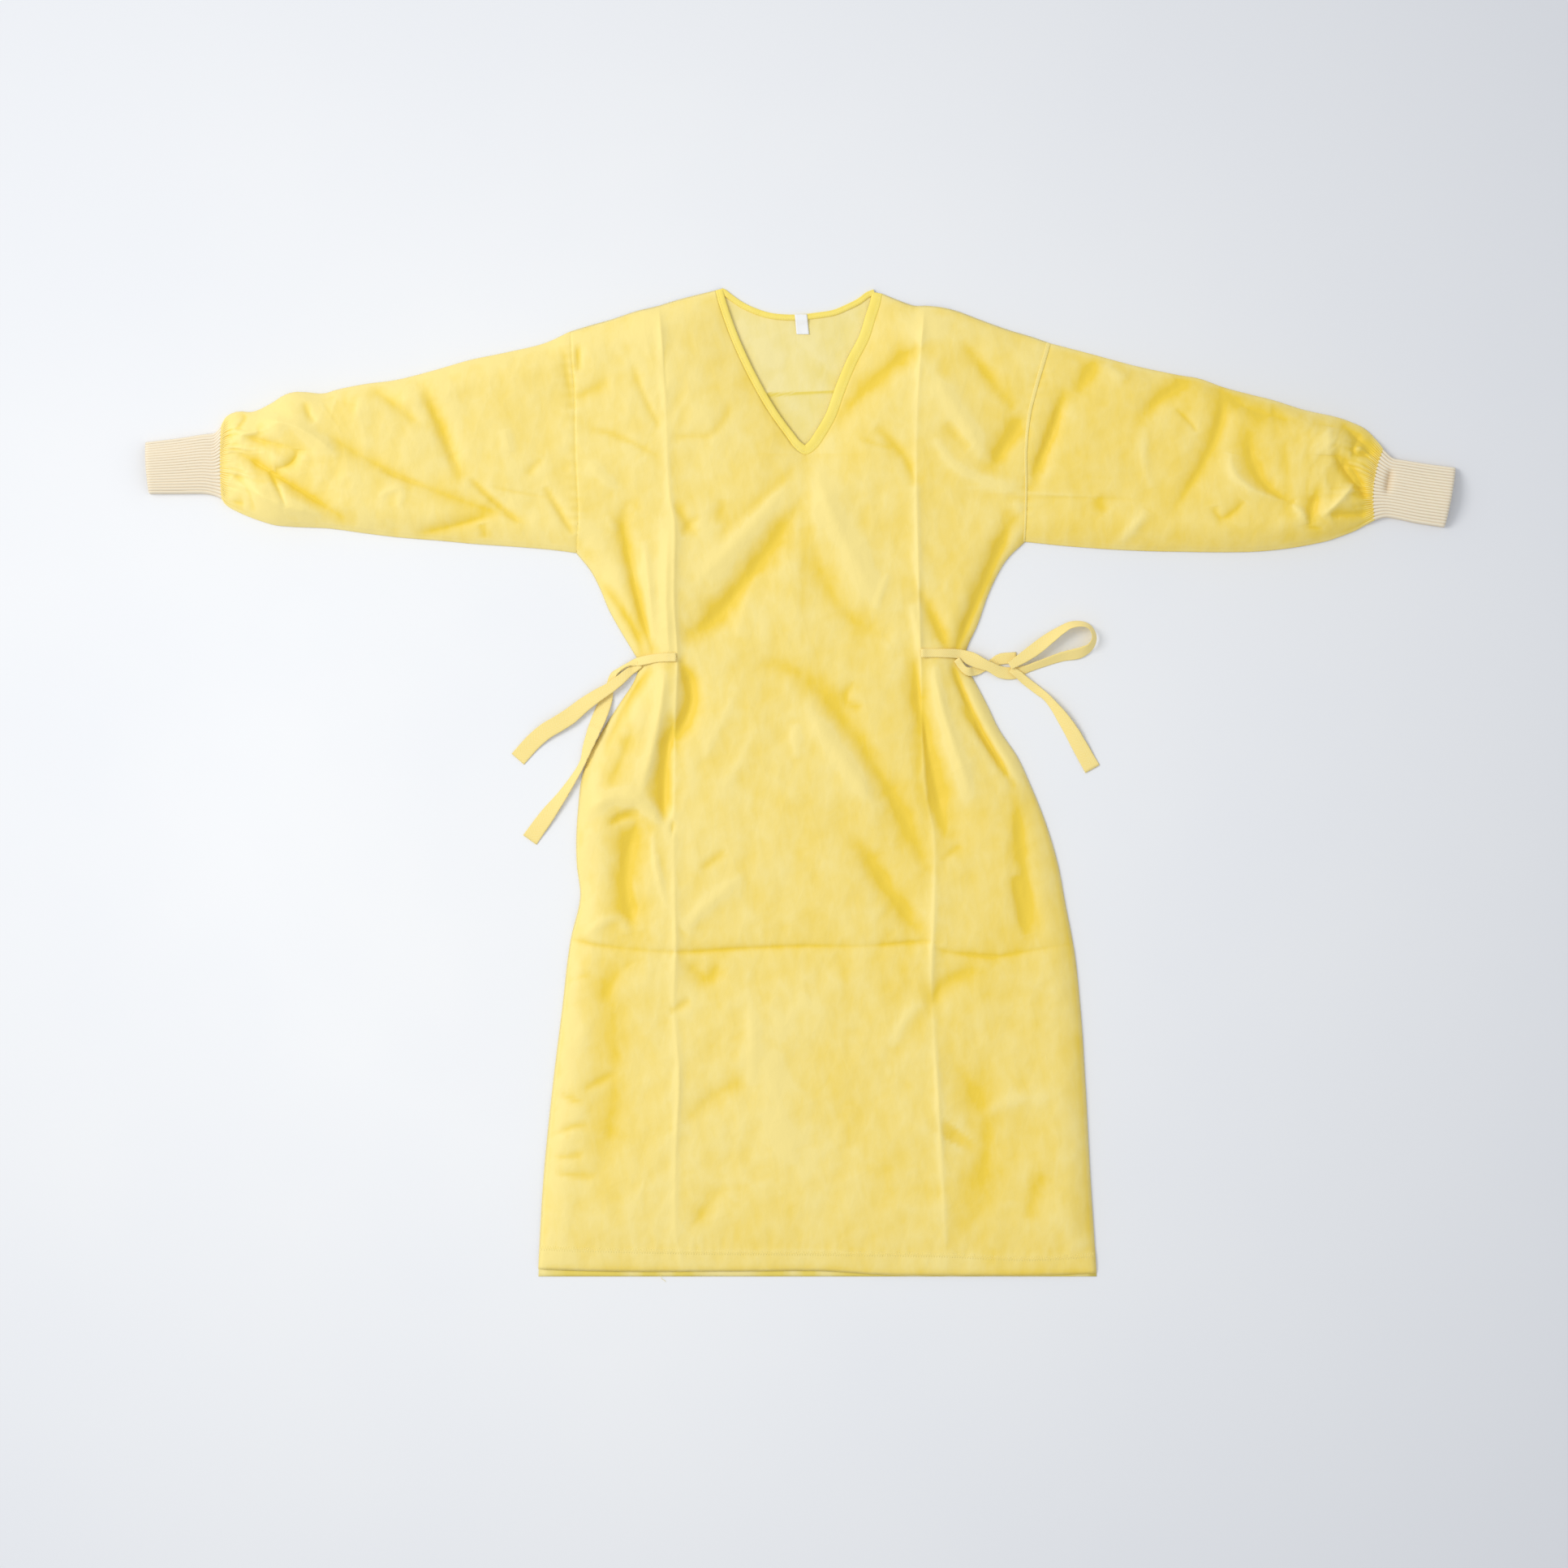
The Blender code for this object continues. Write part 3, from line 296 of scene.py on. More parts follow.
# Soft folds: a curve through three places, half the width and the rise at both ends
FOLD_COLUMNS = "x1 y1 x2 y2 x3 y3 width1 width2 rise1 rise2"
SOFT_FOLDS = table(
    FOLD_COLUMNS,
    (-130, 172, -82, 212, 2, 330, 16, 22, -8, -5),
    (-122, 232, -64, 291, -8, 356, 24, 22, 5, 4),
    (-90, 290, -44, 330, -2, 372, 16, 14, -4, -3),
    (22, 368, 37, 309, 95, 205, 20, 26, 6, 4),
    (143, 505, 102, 481, 44, 424, 16, 14, -6, -4),
    (225, 370, 240, 396, 258, 423, 13, 16, -7, -5),
    (154, 475, 183, 430, 210, 388, 18, 18, 4, 5),
    (244, 304, 222, 250, 180, 153, 12, 8, -7, -8),
    (133, 230, 155, 192, 168, 158, 13, 8, -3, -7),
    (-196, 325, -204, 285, -172, 155, 13, 7, -4, -8),
    (-235, 235, -200, 190, -184, 153, 10, 6, -4, -5),
    (-152, 300, -156, 220, -152, 152, 12, 9, 3, 6),
    (-138, 138, -127, 96, -148, 52, 11, 15, -10, -8),
    (-148, 66, -157, 24, -159, -44, 17, 14, -8, -9),
    (-158, 124, -167, 60, -184, -4, 7, 12, 5, 6),
    (-196, 60, -207, 30, -222, -4, 10, 12, -3, -2),
    (-176, 130, -200, 95, -226, 40, 6, 11, -6, -4),
    (134, 138, 143, 66, 168, -56, 12, 21, -10, -8),
    (156, 130, 165, 84, 196, -10, 8, 14, 5, 7),
    (178, 134, 205, 71, 248, -2, 5, 6, -8, -6),
    (196, 124, 224, 60, 258, 0, 8, 14, 4, 6),
    (-46, 136, 40, 90, 148, -98, 15, 20, -3, -6),
    (10, 82, 41, 38, 84, -22, 18, 20, 4, 5),
    (66, -66, 98, -116, 140, -176, 15, 16, -4, -5),
    (-190, -46, -203, -109, -192, -172, 19, 20, -9, -7),
    (-256, -38, -203, -16, -152, -56, 11, 11, 6, 4),
    (250, -18, 260, -99, 268, -174, 12, 14, -4, -5),
    (-134, -206, -108, -226, -96, -206, 13, 13, -3, -3),
    (152, -262, 168, -232, 204, -216, 11, 11, -4, -3),
    (-230, -210, -215, -330, -232, -450, 26, 30, -3, -4),
    (180, -330, 215, -400, 200, -500, 24, 28, -3, -4),
    (20, -240, -30, -330, 10, -470, 34, 34, 2, 3),
    (-438, 462, -418, 415, -396, 358, 9, 9, -4, -5),
    (-502, 462, -472, 440, -444, 418, 11, 11, -5, -3),
    (-545, 402, -450, 350, -320, 304, 12, 9, -4, -3),
    (-624, 421, -580, 410, -540, 382, 8, 10, 6, 5),
    (-655, 386, -600, 352, -524, 304, 8, 12, -8, -7),
    (-646, 402, -606, 392, -570, 384, 7, 10, -6, -3),
    (-642, 342, -600, 322, -560, 312, 8, 10, 5, 4),
    (-444, 290, -406, 298, -362, 310, 8, 10, -5, -5),
    (342, 490, 332, 473, 318, 452, 13, 13, -5, -3),
    (454, 468, 424, 451, 396, 426, 14, 14, -7, -4),
    (488, 455, 480, 400, 436, 322, 12, 14, -6, -4),
    (494, 454, 524, 432, 572, 420, 12, 10, -5, -4),
    (519, 408, 535, 350, 584, 320, 14, 12, -6, -6),
    (632, 412, 652, 394, 668, 380, 7, 6, -7, -7),
    (620, 378, 640, 350, 660, 326, 7, 6, -7, -7),
    (596, 334, 592, 316, 589, 298, 8, 8, -7, -5),
    (612, 311, 638, 312, 662, 313, 7, 6, -6, -7),
    (304, 450, 286, 390, 268, 345, 11, 10, -4, -4),
)

# Sharp wrinkles, which fade at both ends: a curve through three places, half the width and the rise
SHARP_WRINKLES = table(
    "x1 y1 x2 y2 x3 y3 width rise",
    (-197, 487, -178, 441, -161, 410, 5, -2), (-244, 410, -213, 403, -165, 379, 4, -1.5),
    (-261, 445, -239, 458, -222, 462, 10, -2), (-81, 441, -94, 414, -116, 401, 5, -1.5),
    (-151, 401, -120, 403, -99, 401, 4, -1), (-156, 458, -158, 480, -158, 502, 3, -1.5),
    (-246, 370, -226, 353, -208, 340, 7, 2), (-226, 309, -219, 300, -213, 291, 4, 1.5),
    (-182, 282, -175, 216, -173, 155, 7, 3), (-138, 287, -125, 304, -116, 309, 5, -2),
    (-147, 326, -134, 306, -120, 287, 7, -2), (-90, 331, -93, 315, -96, 300, 7, -1.5),
    (-4, 379, -4, 267, -4, 155, 6, 0.8), (-72, 168, -63, 212, -46, 247, 8, 1.5),
    (10, 300, 40, 215, 105, 165, 20, -3), (86, 203, 94, 223, 101, 243, 3, 1.5),
    (130, 208, 134, 181, 139, 155, 5, 2), (86, 414, 121, 379, 132, 344, 8, -3),
    (68, 401, 90, 393, 108, 388, 3, -1), (169, 419, 182, 402, 196, 388, 7, -3),
    (187, 515, 213, 480, 249, 432, 10, -3), (187, 344, 262, 337, 362, 331, 3, 1),
    (156, 401, 191, 361, 257, 344, 9, 3), (257, 300, 240, 265, 196, 168, 6, 4),
    (-147, -41, -148, -51, -149, -61, 3, -2), (-222, -47, -203, -37, -187, -36, 4, -4),
    (-172, -56, -167, -96, -155, -146, 4, 2), (-252, -179, -217, -156, -202, -176, 6, 2),
    (-232, -256, -207, -216, -177, -206, 14, -2), (-152, -266, -139, -258, -127, -251, 5, -2.5),
    (-62, -236, -55, -296, -57, -351, 10, 2), (-137, -396, -97, -361, -57, -346, 16, -2),
    (-132, -521, -112, -496, -92, -471, 12, -2), (108, -306, 123, -271, 143, -256, 10, 2),
    (173, -416, 178, -408, 183, -401, 22, -3), (203, -396, 237, -371, 292, -366, 16, 2),
    (337, -526, 325, -536, 312, -546, 8, 2), (282, -451, 272, -478, 262, -506, 12, -2),
    (-282, -359, -267, -366, -252, -371, 5, -2), (-290, -411, -268, -400, -247, -396, 5, -2),
    (-287, -436, -270, -433, -252, -431, 5, -2), (-287, -451, -262, -455, -237, -456, 5, -2),
    (-252, -356, -232, -345, -212, -336, 5, -2), (-272, -231, -257, -226, -242, -221, 5, -1.5),
    (-7, 69, -5, 49, -2, 29, 7, 2), (62, 118, 53, 97, 72, 88, 6, -2),
    (-117, -101, -102, -90, -87, -79, 5, -2), (-137, -171, -102, -136, -67, -106, 12, 3),
    (-112, 29, -95, 65, -77, 99, 8, 1.5), (-87, -6, -67, 32, -47, 69, 8, 1.5),
    (248, -106, 253, -136, 263, -176, 7, -3), (163, -91, 175, -80, 188, -71, 4, -1.5),
    (183, 94, 218, 44, 243, 9, 5, -3),
    (-582, 387, -589, 371, -609, 364, 6, -4), (-615, 361, -605, 341, -595, 318, 4, -3),
    (-658, 433, -645, 424, -655, 410, 5, -4), (-658, 400, -643, 404, -628, 407, 5, 3),
    (-665, 328, -655, 326, -645, 324, 5, -4), (-655, 357, -638, 337, -635, 314, 6, -3),
    (-575, 443, -569, 427, -562, 417, 5, -3), (-539, 443, -525, 440, -512, 437, 18, -3),
    (-486, 364, -466, 354, -440, 347, 4, -1.5), (-489, 331, -463, 341, -466, 318, 4, 1.5),
    (-383, 354, -360, 331, -324, 301, 4, -3), (-370, 301, -368, 293, -367, 284, 5, -3),
    (-297, 344, -281, 318, -264, 288, 5, -3), (-360, 344, -327, 337, -291, 331, 3, -1),
    (-317, 357, -309, 367, -301, 377, 5, -1.5), (-274, 510, -271, 477, -264, 433, 10, -3),
    (-259, 510, -258, 493, -258, 477, 4, -3), (-344, 410, -340, 397, -337, 384, 6, 1.5),
    (-450, 472, -407, 480, -307, 506, 4, 1),
    (352, 489, 364, 478, 377, 468, 12, 3), (548, 441, 548, 432, 548, 424, 5, -2),
    (500, 382, 510, 348, 569, 324, 9, 4), (569, 324, 580, 312, 586, 300, 7, 4),
    (613, 413, 611, 396, 610, 379, 14, 4), (651, 406, 641, 382, 672, 386, 6, -5),
    (627, 372, 641, 362, 658, 331, 6, -5), (603, 307, 627, 331, 644, 351, 6, 5),
    (586, 297, 596, 296, 606, 295, 3, -1.5), (401, 413, 397, 379, 407, 341, 6, 1.5),
    (435, 434, 452, 417, 459, 406, 4, -2), (401, 317, 387, 297, 370, 279, 7, 3),
    (270, 331, 340, 331, 401, 327, 4, -1), (342, 331, 349, 322, 356, 314, 12, -2),
    (479, 321, 490, 307, 514, 327, 7, -3), (304, 448, 294, 413, 267, 355, 5, -3),
    (246, 327, 251, 321, 256, 314, 5, 2),
)

BACK_TOP = 1.2 * MM
FRONT_FLOOR = 2.7 * MM
EDGE_ROUND = 34 * MM
HEM_REACH = 90 * MM
HEM_SHARE = 0.05
HEM_DROP = 1.5 * MM
HEM_ROLL = 10 * MM
NECK_REACH = 80 * MM
NECK_SHARE = 0.15
SOFT_FLOOR = 2.5 * MM
CREASE_WIDTH = 4 * MM
CREASE_RISE = 2.4 * MM
CREASE_SPREAD = 26 * MM
CREASE_TURN = 1.5 * MM
CREST_RADIUS = 0.8 * MM
FOLD_RADIUS = 1.2 * MM
CRISPNESS = 0.66
FOLD_FADE = 1.3
FOLD_END = 0.4
FOLD_EASE = 5
FULL_HOLLOW = 7 * MM
SEAM_ROLL = 4 * MM
SEAM_DROP = 1.7 * MM
ARMHOLE_DROP = 0.5 * MM
PUCKER_PITCH = 14 * MM
PUCKER_RISE = 0.35 * MM
PUCKER_REACH = 9 * MM
CRUMPLE_SIZE = 46 * MM
CRUMPLE_RISE = 0.9 * MM
CUFF_CRUMPLE = 2.8
CUFF_CRUMPLE_FROM = 480 * MM
CUFF_CRUMPLE_REACH = 170 * MM
EDGE_PAINTED_LIGHT = 0.5
PAINTED_LIGHT_REACH = 3.5 * MM
TONE_ACROSS = 0.14
TONE_REACH = 300 * MM


def curve_through(t, first, slope_out, second, slope_in):
    """Places on a smooth curve from one value to the next, with its slope at each."""
    return (
        (2 * t**3 - 3 * t**2 + 1) * first
        + (t**3 - 2 * t**2 + t) * slope_out
        + (3 * t**2 - 2 * t**3) * second
        + (t**3 - t**2) * slope_in
    )


def bell(distance, width):
    """A smooth swell: 1 in its middle, and fading to nothing over a width."""
    return np.exp(-((distance / width) ** 2))


def along(rows, key, wanted, at):
    """Reads one column of a table at places between its rows, on a smooth curve through them."""
    ordered = sorted(rows, key=lambda row: getattr(row, key))
    places = np.array([getattr(row, key) for row in ordered])
    values = np.array([getattr(row, wanted) for row in ordered])
    slopes = np.gradient(values, places)
    at = np.clip(at, places[0], places[-1])
    index = np.clip(np.searchsorted(places, at) - 1, 0, len(places) - 2)
    span = places[index + 1] - places[index]
    t = (at - places[index]) / span
    return curve_through(t, values[index], span * slopes[index], values[index + 1], span * slopes[index + 1])


def smooth_path(rows, columns, steps, first=0, last=None):
    """Points on a smooth curve through a table's rows, or between two of them, with a number of steps."""
    points = np.array([[getattr(row, name) for name in columns] for row in rows])
    slopes = np.gradient(points, axis=0)
    share = np.linspace(first, len(points) - 1 if last is None else last, steps + 1)
    index = np.minimum(share.astype(int), len(points) - 2)
    t = (share - index)[:, None]
    return curve_through(t, points[index], slopes[index], points[index + 1], slopes[index + 1])


def neck_halves(steps):
    """The V's edge as its two sides, each from the shoulder to the tip."""
    tip = min(range(len(V_EDGE)), key=lambda number: V_EDGE[number].y)
    return (
        smooth_path(V_EDGE, "xy", steps, 0, tip),
        smooth_path(V_EDGE, "xy", steps, len(V_EDGE) - 1, tip),
    )


def beside(path, distance):
    """A line beside a path, to the left of its run for a distance above 0."""
    run = np.gradient(path, axis=0)
    run /= np.linalg.norm(run, axis=1)[:, None]
    return path + np.column_stack((-run[:, 1], run[:, 0])) * np.reshape(distance, (-1, 1))


def nearest(points, line):
    """For each point, its distance to a line of straight pieces, and the share of the line where that is."""
    starts, runs = line[:-1], line[1:] - line[:-1]
    lengths = np.linalg.norm(runs, axis=1)
    offset = points[:, None, :] - starts[None, :, :]
    t = np.clip((offset * runs).sum(axis=2) / lengths**2, 0, 1)
    distance = np.linalg.norm(offset - t[:, :, None] * runs, axis=2)
    best = distance.argmin(axis=1)
    pick = np.arange(len(points))
    passed = np.concatenate(([0], np.cumsum(lengths)))
    share = (passed[best] + t[pick, best] * lengths[best]) / passed[-1]
    return distance[pick, best], share


def seam(sleeve_rows, side, body_rows, steps):
    """A seam from the cuff along a sleeve, and on along the body."""
    edge = smooth_path(sleeve_rows, (side + "_x", side + "_y"), 3 * len(sleeve_rows))
    return np.concatenate((edge[::-1], smooth_path(body_rows, "xy", steps)[1:]))


SEAMS = [
    seam(LEFT_SLEEVE, "top", LEFT_SHOULDER, 12),
    seam(RIGHT_SLEEVE, "top", RIGHT_SHOULDER, 12),
    seam(LEFT_SLEEVE, "bottom", LEFT_SIDE, 54),
    seam(RIGHT_SLEEVE, "bottom", RIGHT_SIDE, 54),
]
ARMHOLES = [smooth_path(half.armhole, "xy", 30) for half in (LEFT, RIGHT)]
V_LINE = smooth_path(V_EDGE, "xy", 60)
PACKED_CREASES = [(smooth_path(LEFT_CREASE, "xy", 40), 1), (smooth_path(RIGHT_CREASE, "xy", 40), 1)]
PACKED_CREASES.append((smooth_path(CROSS_CREASE, "xy", 40), -1))


def bent(row):
    """A short curve through a fold's three places."""
    ends = np.array([[row.x1, row.y1], [row.x3, row.y3]])
    bend = 2 * np.array([row.x2, row.y2]) - ends.mean(axis=0)
    t = np.linspace(0, 1, 9)[:, None]
    return (1 - t) ** 2 * ends[0] + 2 * t * (1 - t) * bend + t**2 * ends[1]


def near_line(points, line, reach):
    """Which points lie in a line's box, widened by a reach."""
    low, high = line.min(axis=0) - reach, line.max(axis=0) + reach
    return np.flatnonzero(((points > low) & (points < high)).all(axis=1))


def crumple(x, y):
    """The crisp small facets of cloth that has been packed."""
    warp = noise.noise(Vector((x * 9, y * 9, 3.7)))
    spot = Vector((x / CRUMPLE_SIZE + warp, y / (1.4 * CRUMPLE_SIZE) - warp, 0.5))
    far = noise.voronoi(spot)[0]
    fine = noise.ridged_multi_fractal(spot * 1.3, 0.9, 2.1, 3, 1.0, 1.6)
    return min(far[1] - far[0], 0.6) / 0.6 * 0.5 + 0.3 * (fine - 1)


def relief(points):
    """Over points of X and Y, how far the front cloth stands above its lowest place, and its painted shade and
    tone.
    """
    points = np.asarray(points, dtype=float)
    folds = np.zeros(len(points))
    for fold in SOFT_FOLDS:
        path = bent(fold)
        near = near_line(points, path, 3 * max(fold.width1, fold.width2))
        if len(near):
            distance, share = nearest(points[near], path)
            width = fold.width1 + (fold.width2 - fold.width1) * share
            ease = np.clip(FOLD_END + (1 - FOLD_END) * np.minimum(share, 1 - share) * FOLD_EASE, 0, 1)
            rise = (fold.rise1 + (fold.rise2 - fold.rise1) * share) * ease
            crisp = np.exp(-FOLD_FADE * (np.sqrt(distance**2 + FOLD_RADIUS**2) - FOLD_RADIUS) / width)
            folds[near] += rise * (CRISPNESS * crisp + (1 - CRISPNESS) * bell(distance, width))
    for wrinkle in SHARP_WRINKLES:
        path = bent(wrinkle)
        near = near_line(points, path, 4 * wrinkle.width)
        if len(near):
            distance, share = nearest(points[near], path)
            away = (np.sqrt(distance**2 + CREST_RADIUS**2) - CREST_RADIUS) / wrinkle.width
            fade = np.clip(4 * share * (1 - share), 0, 1) ** 0.6
            folds[near] += wrinkle.rise * fade * np.exp(-away * (1 + 0.35 * away))
    for path, side in PACKED_CREASES:
        near = near_line(points, path, 3 * CREASE_SPREAD)
        distance, share = nearest(points[near], path)
        away = (np.sqrt(distance**2 + CREST_RADIUS**2) - CREST_RADIUS) / CREASE_WIDTH
        uneven = 0.7 + 0.3 * np.sin(23 * share + 2 * np.sin(9 * share))
        turned = CREASE_TURN * np.exp(-distance / CREASE_SPREAD)
        folds[near] += side * uneven * (CREASE_RISE * np.exp(-away) + turned)
    gathered = np.clip((np.abs(points[:, 0]) - CUFF_CRUMPLE_FROM) / CUFF_CRUMPLE_REACH, 0, 1)
    folds += CRUMPLE_RISE * (1 + CUFF_CRUMPLE * gathered) * np.array([crumple(x, y) for x, y in points])
    height = along(CROWN, "reach", "rise", np.abs(points[:, 0])) + folds
    low = np.clip(height, -SOFT_FLOOR, SOFT_FLOOR)
    height = np.where(height < SOFT_FLOOR, (low + SOFT_FLOOR) ** 2 / (4 * SOFT_FLOOR), height)
    edge = np.min([nearest(points, line)[0] for line in SEAMS], axis=0)
    height *= 1 - (1 - np.minimum(edge / EDGE_ROUND, 1)) ** 2
    over_hem = np.clip((points[:, 1] - along(FRONT_HEM, "x", "y", points[:, 0])) / HEM_REACH, 0, 1)
    height *= HEM_SHARE + (1 - HEM_SHARE) * over_hem * (2 - over_hem)
    height -= HEM_DROP * np.clip(1 - over_hem * HEM_REACH / HEM_ROLL, 0, 1) ** 2
    from_neck = np.clip(nearest(points, V_LINE)[0] / NECK_REACH, 0, 1)
    height *= NECK_SHARE + (1 - NECK_SHARE) * from_neck * (2 - from_neck)
    height -= SEAM_DROP * np.clip(1 - edge / SEAM_ROLL, 0, 1) ** 2
    from_armhole = np.min([nearest(points, line)[0] for line in ARMHOLES], axis=0)
    height -= ARMHOLE_DROP * np.clip(1 - from_armhole / SEAM_ROLL, 0, 1) ** 2
    pucker = np.sin(2 * np.pi * points[:, 1] / PUCKER_PITCH + 3 * np.sin(40 * points[:, 1]))
    height += PUCKER_RISE * pucker * bell(from_armhole, PUCKER_REACH) * np.minimum(edge / EDGE_ROUND, 1)
    # Painted shade and light: the colour is deeper in the folds' hollows and paler on their ridges, paler
    # still along the sewn edges, and deeper towards the right.
    tone = TONE_ACROSS * np.clip(points[:, 0] / TONE_REACH, -1, 1) - EDGE_PAINTED_LIGHT * np.exp(-edge / PAINTED_LIGHT_REACH)
    return height, np.clip(-folds / FULL_HOLLOW, -1, 1) + tone


def front_top(points):
    """The height of the front cloth's upper face over points of X and Y."""
    return FRONT_FLOOR + relief(points)[0]


# How finely a panel is cut: rows beside the neck and down to the underarm, then to the cross crease, over it
# and to the hem, and columns from each side to its packed crease and on to the middle, closer near the crease
NECK_TIP_Y = 382 * MM
MIDDLE_X = 6 * MM
CROSS_TOP = -168 * MM
CROSS_LOW = -216 * MM
STRAIGHT_HEM = -575 * MM
HEM_EASE = 200 * MM
NECK_ROWS = 44
UNDERARM_ROWS = 26
BODY_ROWS = (100, 32, 86)
SIDE_COLUMNS = 40
MIDDLE_COLUMNS = 44
COLUMN_GRADE = 1.25
HEM_TURN = 26 * MM
HEM_TURN_RISE = 0.6 * MM
HEM_PUCKER_RISE = 0.25 * MM
HEM_PUCKER_REACH = 9 * MM
CLOTH_THICKNESS = 0.35 * MM


def side_edge(half, tip_y, neck_rows, underarm_rows):
    """Points down one side of the body, past the armhole to the hem."""
    stops = (half.armhole[0].y, tip_y, half.side[0].y, CROSS_TOP, CROSS_LOW, STRAIGHT_HEM)
    steps = (neck_rows, underarm_rows, *BODY_ROWS)
    stages = zip(stops, stops[1:], steps)
    parts = [np.linspace(top, low, count, endpoint=False) for top, low, count in stages]
    y = np.concatenate(parts + [[STRAIGHT_HEM]])
    x = np.where(y > half.side[0].y, along(half.armhole, "y", "x", y), along(half.side, "y", "x", y))
    return np.column_stack((x, y))


def panel_half(half, neck_points, neck_tip_y, side_tip_y, hem, underarm_rows):
    """Rows of points on half of a panel, each from the side edge to the neck's edge or the middle line."""
    neck_rows = len(neck_points) - 1
    outer = side_edge(half, side_tip_y, neck_rows, underarm_rows)
    sides = [side_edge(side, side_tip_y, neck_rows, underarm_rows) for side in (LEFT, RIGHT)]
    middle = np.column_stack((np.full(len(outer), MIDDLE_X), (sides[0][:, 1] + sides[1][:, 1]) / 2))
    tip_shift = np.array([neck_points[-1, 0] - MIDDLE_X, neck_tip_y - middle[neck_rows, 1]])
    middle[neck_rows:] += tip_shift * np.linspace(1, 0, len(outer) - neck_rows)[:, None] ** 2
    middle[: neck_rows + 1] = neck_points
    to_crease = 1 - np.linspace(1, 0, SIDE_COLUMNS + 1) ** COLUMN_GRADE
    from_crease = 1 + np.linspace(0, 1, MIDDLE_COLUMNS + 1)[1:] ** COLUMN_GRADE
    share = np.concatenate((to_crease, from_crease))
    thirds = (0, 1, 2)
    top_x = np.interp(share, thirds, (outer[0, 0], half.crease[0].x, middle[0, 0]))
    top_y = along(half.shoulder, "x", "y", top_x)
    rows = []
    for number in range(len(outer)):
        y = outer[number, 1] + (middle[number, 1] - outer[number, 1]) * share / 2
        if number < neck_rows:
            low_y = outer[neck_rows, 1] + (neck_tip_y - outer[neck_rows, 1]) * share / 2
            edge_down = (top_y[0] - outer[number, 1]) / (top_y[0] - side_tip_y)
            neck_down = (top_y[-1] - middle[number, 1]) / (top_y[-1] - neck_tip_y)
            down = edge_down + (neck_down - edge_down) * share / 2
            y = top_y + (low_y - top_y) * down
        crease_x = float(along(half.crease, "y", "x", y[SIDE_COLUMNS]))
        x = np.interp(share, thirds, (outer[number, 0], crease_x, middle[number, 0]))
        rows.append(np.column_stack((x, y)))
    rows = np.array(rows)
    hem_y = hem(rows[-1, :, 0])
    reach = np.clip((HEM_EASE + rows[:, :, 1]) / (HEM_EASE + rows[-1:, :, 1]), 0, 1) ** 2
    rows[:, :, 1] += (hem_y - rows[-1, :, 1]) * reach
    return rows


# Painted shade: the cloth's colour is made deeper in its small dips and where it turns from the window, and
# paler where it faces the window
DIP = 0.6 * MM
DIP_SHADE_SHARE = 0.2
DIP_STEPS = 24
FROM_WINDOW = (0.94, -0.35, 0)
TURNED_SHADE_SHARE = 0.3


def dip_and_turn_shade(places):
    """An addition to a grid's painted shade, for places below those around them or turned from the window."""
    facing = np.cross(np.gradient(places, axis=0), np.gradient(places, axis=1))
    facing *= np.sign(facing[:, :, 2:]) / np.maximum(np.linalg.norm(facing, axis=2, keepdims=True), 1e-12)
    turned = TURNED_SHADE_SHARE * np.clip(facing @ FROM_WINDOW, -0.4, 0.6)
    around = places[:, :, 2]
    for _ in range(DIP_STEPS):
        wide = np.pad(around, 1, mode="edge")
        beside_it = wide[:-2, 1:-1] + wide[2:, 1:-1] + wide[1:-1, :-2] + wide[1:-1, 2:]
        around = around / 2 + beside_it / 8
    return turned + DIP_SHADE_SHARE * np.clip((around - places[:, :, 2]) / DIP, -1, 1)


def new_piece(name, points, faces, finish):
    """A smooth mesh in one finish, put into the scene."""
    mesh = bpy.data.meshes.new(name)
    mesh.from_pydata(points, [], faces)
    mesh.shade_smooth()
    mesh.materials.append(finish)
    piece = bpy.data.objects.new(name, mesh)
    bpy.context.scene.collection.objects.link(piece)
    return piece


def cloth_piece(name, grids, finish, thickness=0, closed=False):
    """A sheet of cloth through grids of points, which are joined where they meet, with the painted shade and
    tone of each point noted.
    """
    points, faces, painted_shade_values = [], [], []
    for grid, hollow in grids:
        rows, columns = grid.shape[:2]
        index = len(points) + np.arange(rows * columns).reshape(rows, columns)
        if closed:
            index = np.column_stack((index, index[:, :1]))
        corners = (index[:-1, :-1], index[:-1, 1:], index[1:, 1:], index[1:, :-1])
        faces.extend(np.stack(corners, axis=-1).reshape(-1, 4).tolist())
        points.extend(grid.reshape(-1, 3).tolist())
        painted_shade_values.extend(np.ravel(hollow).tolist())
    piece = new_piece(name, points, faces, finish)
    piece.data.attributes.new("hollow", "FLOAT", "POINT").data.foreach_set("value", painted_shade_values)
    if len(grids) > 1:
        weld = piece.modifiers.new("weld", "WELD")
        weld.merge_threshold = 0.00001
    if thickness:
        wall = piece.modifiers.new("wall", "SOLIDIFY")
        wall.thickness = thickness
        wall.offset = 1
    settle(piece)
    return piece


def settle(piece):
    """Makes a piece's modifiers part of its mesh."""
    dressed = bpy.data.meshes.new_from_object(piece.evaluated_get(bpy.context.evaluated_depsgraph_get()))
    piece.modifiers.clear()
    old = piece.data
    piece.data = dressed
    bpy.data.meshes.remove(old)
    dressed.name = piece.name


# The cloth's two sizes of flat facet: how many to a metre, and their turn in degrees
WIDE_FACETS = (19, 25)
SMALL_FACETS = (52, -20)
WRINKLE_DEPTH = 0.32 * MM
WIDE_FACET_DEPTH = 1.3 * MM
SMALL_FACET_DEPTH = 0.4 * MM
FIBRE_DEPTH = 0.06 * MM


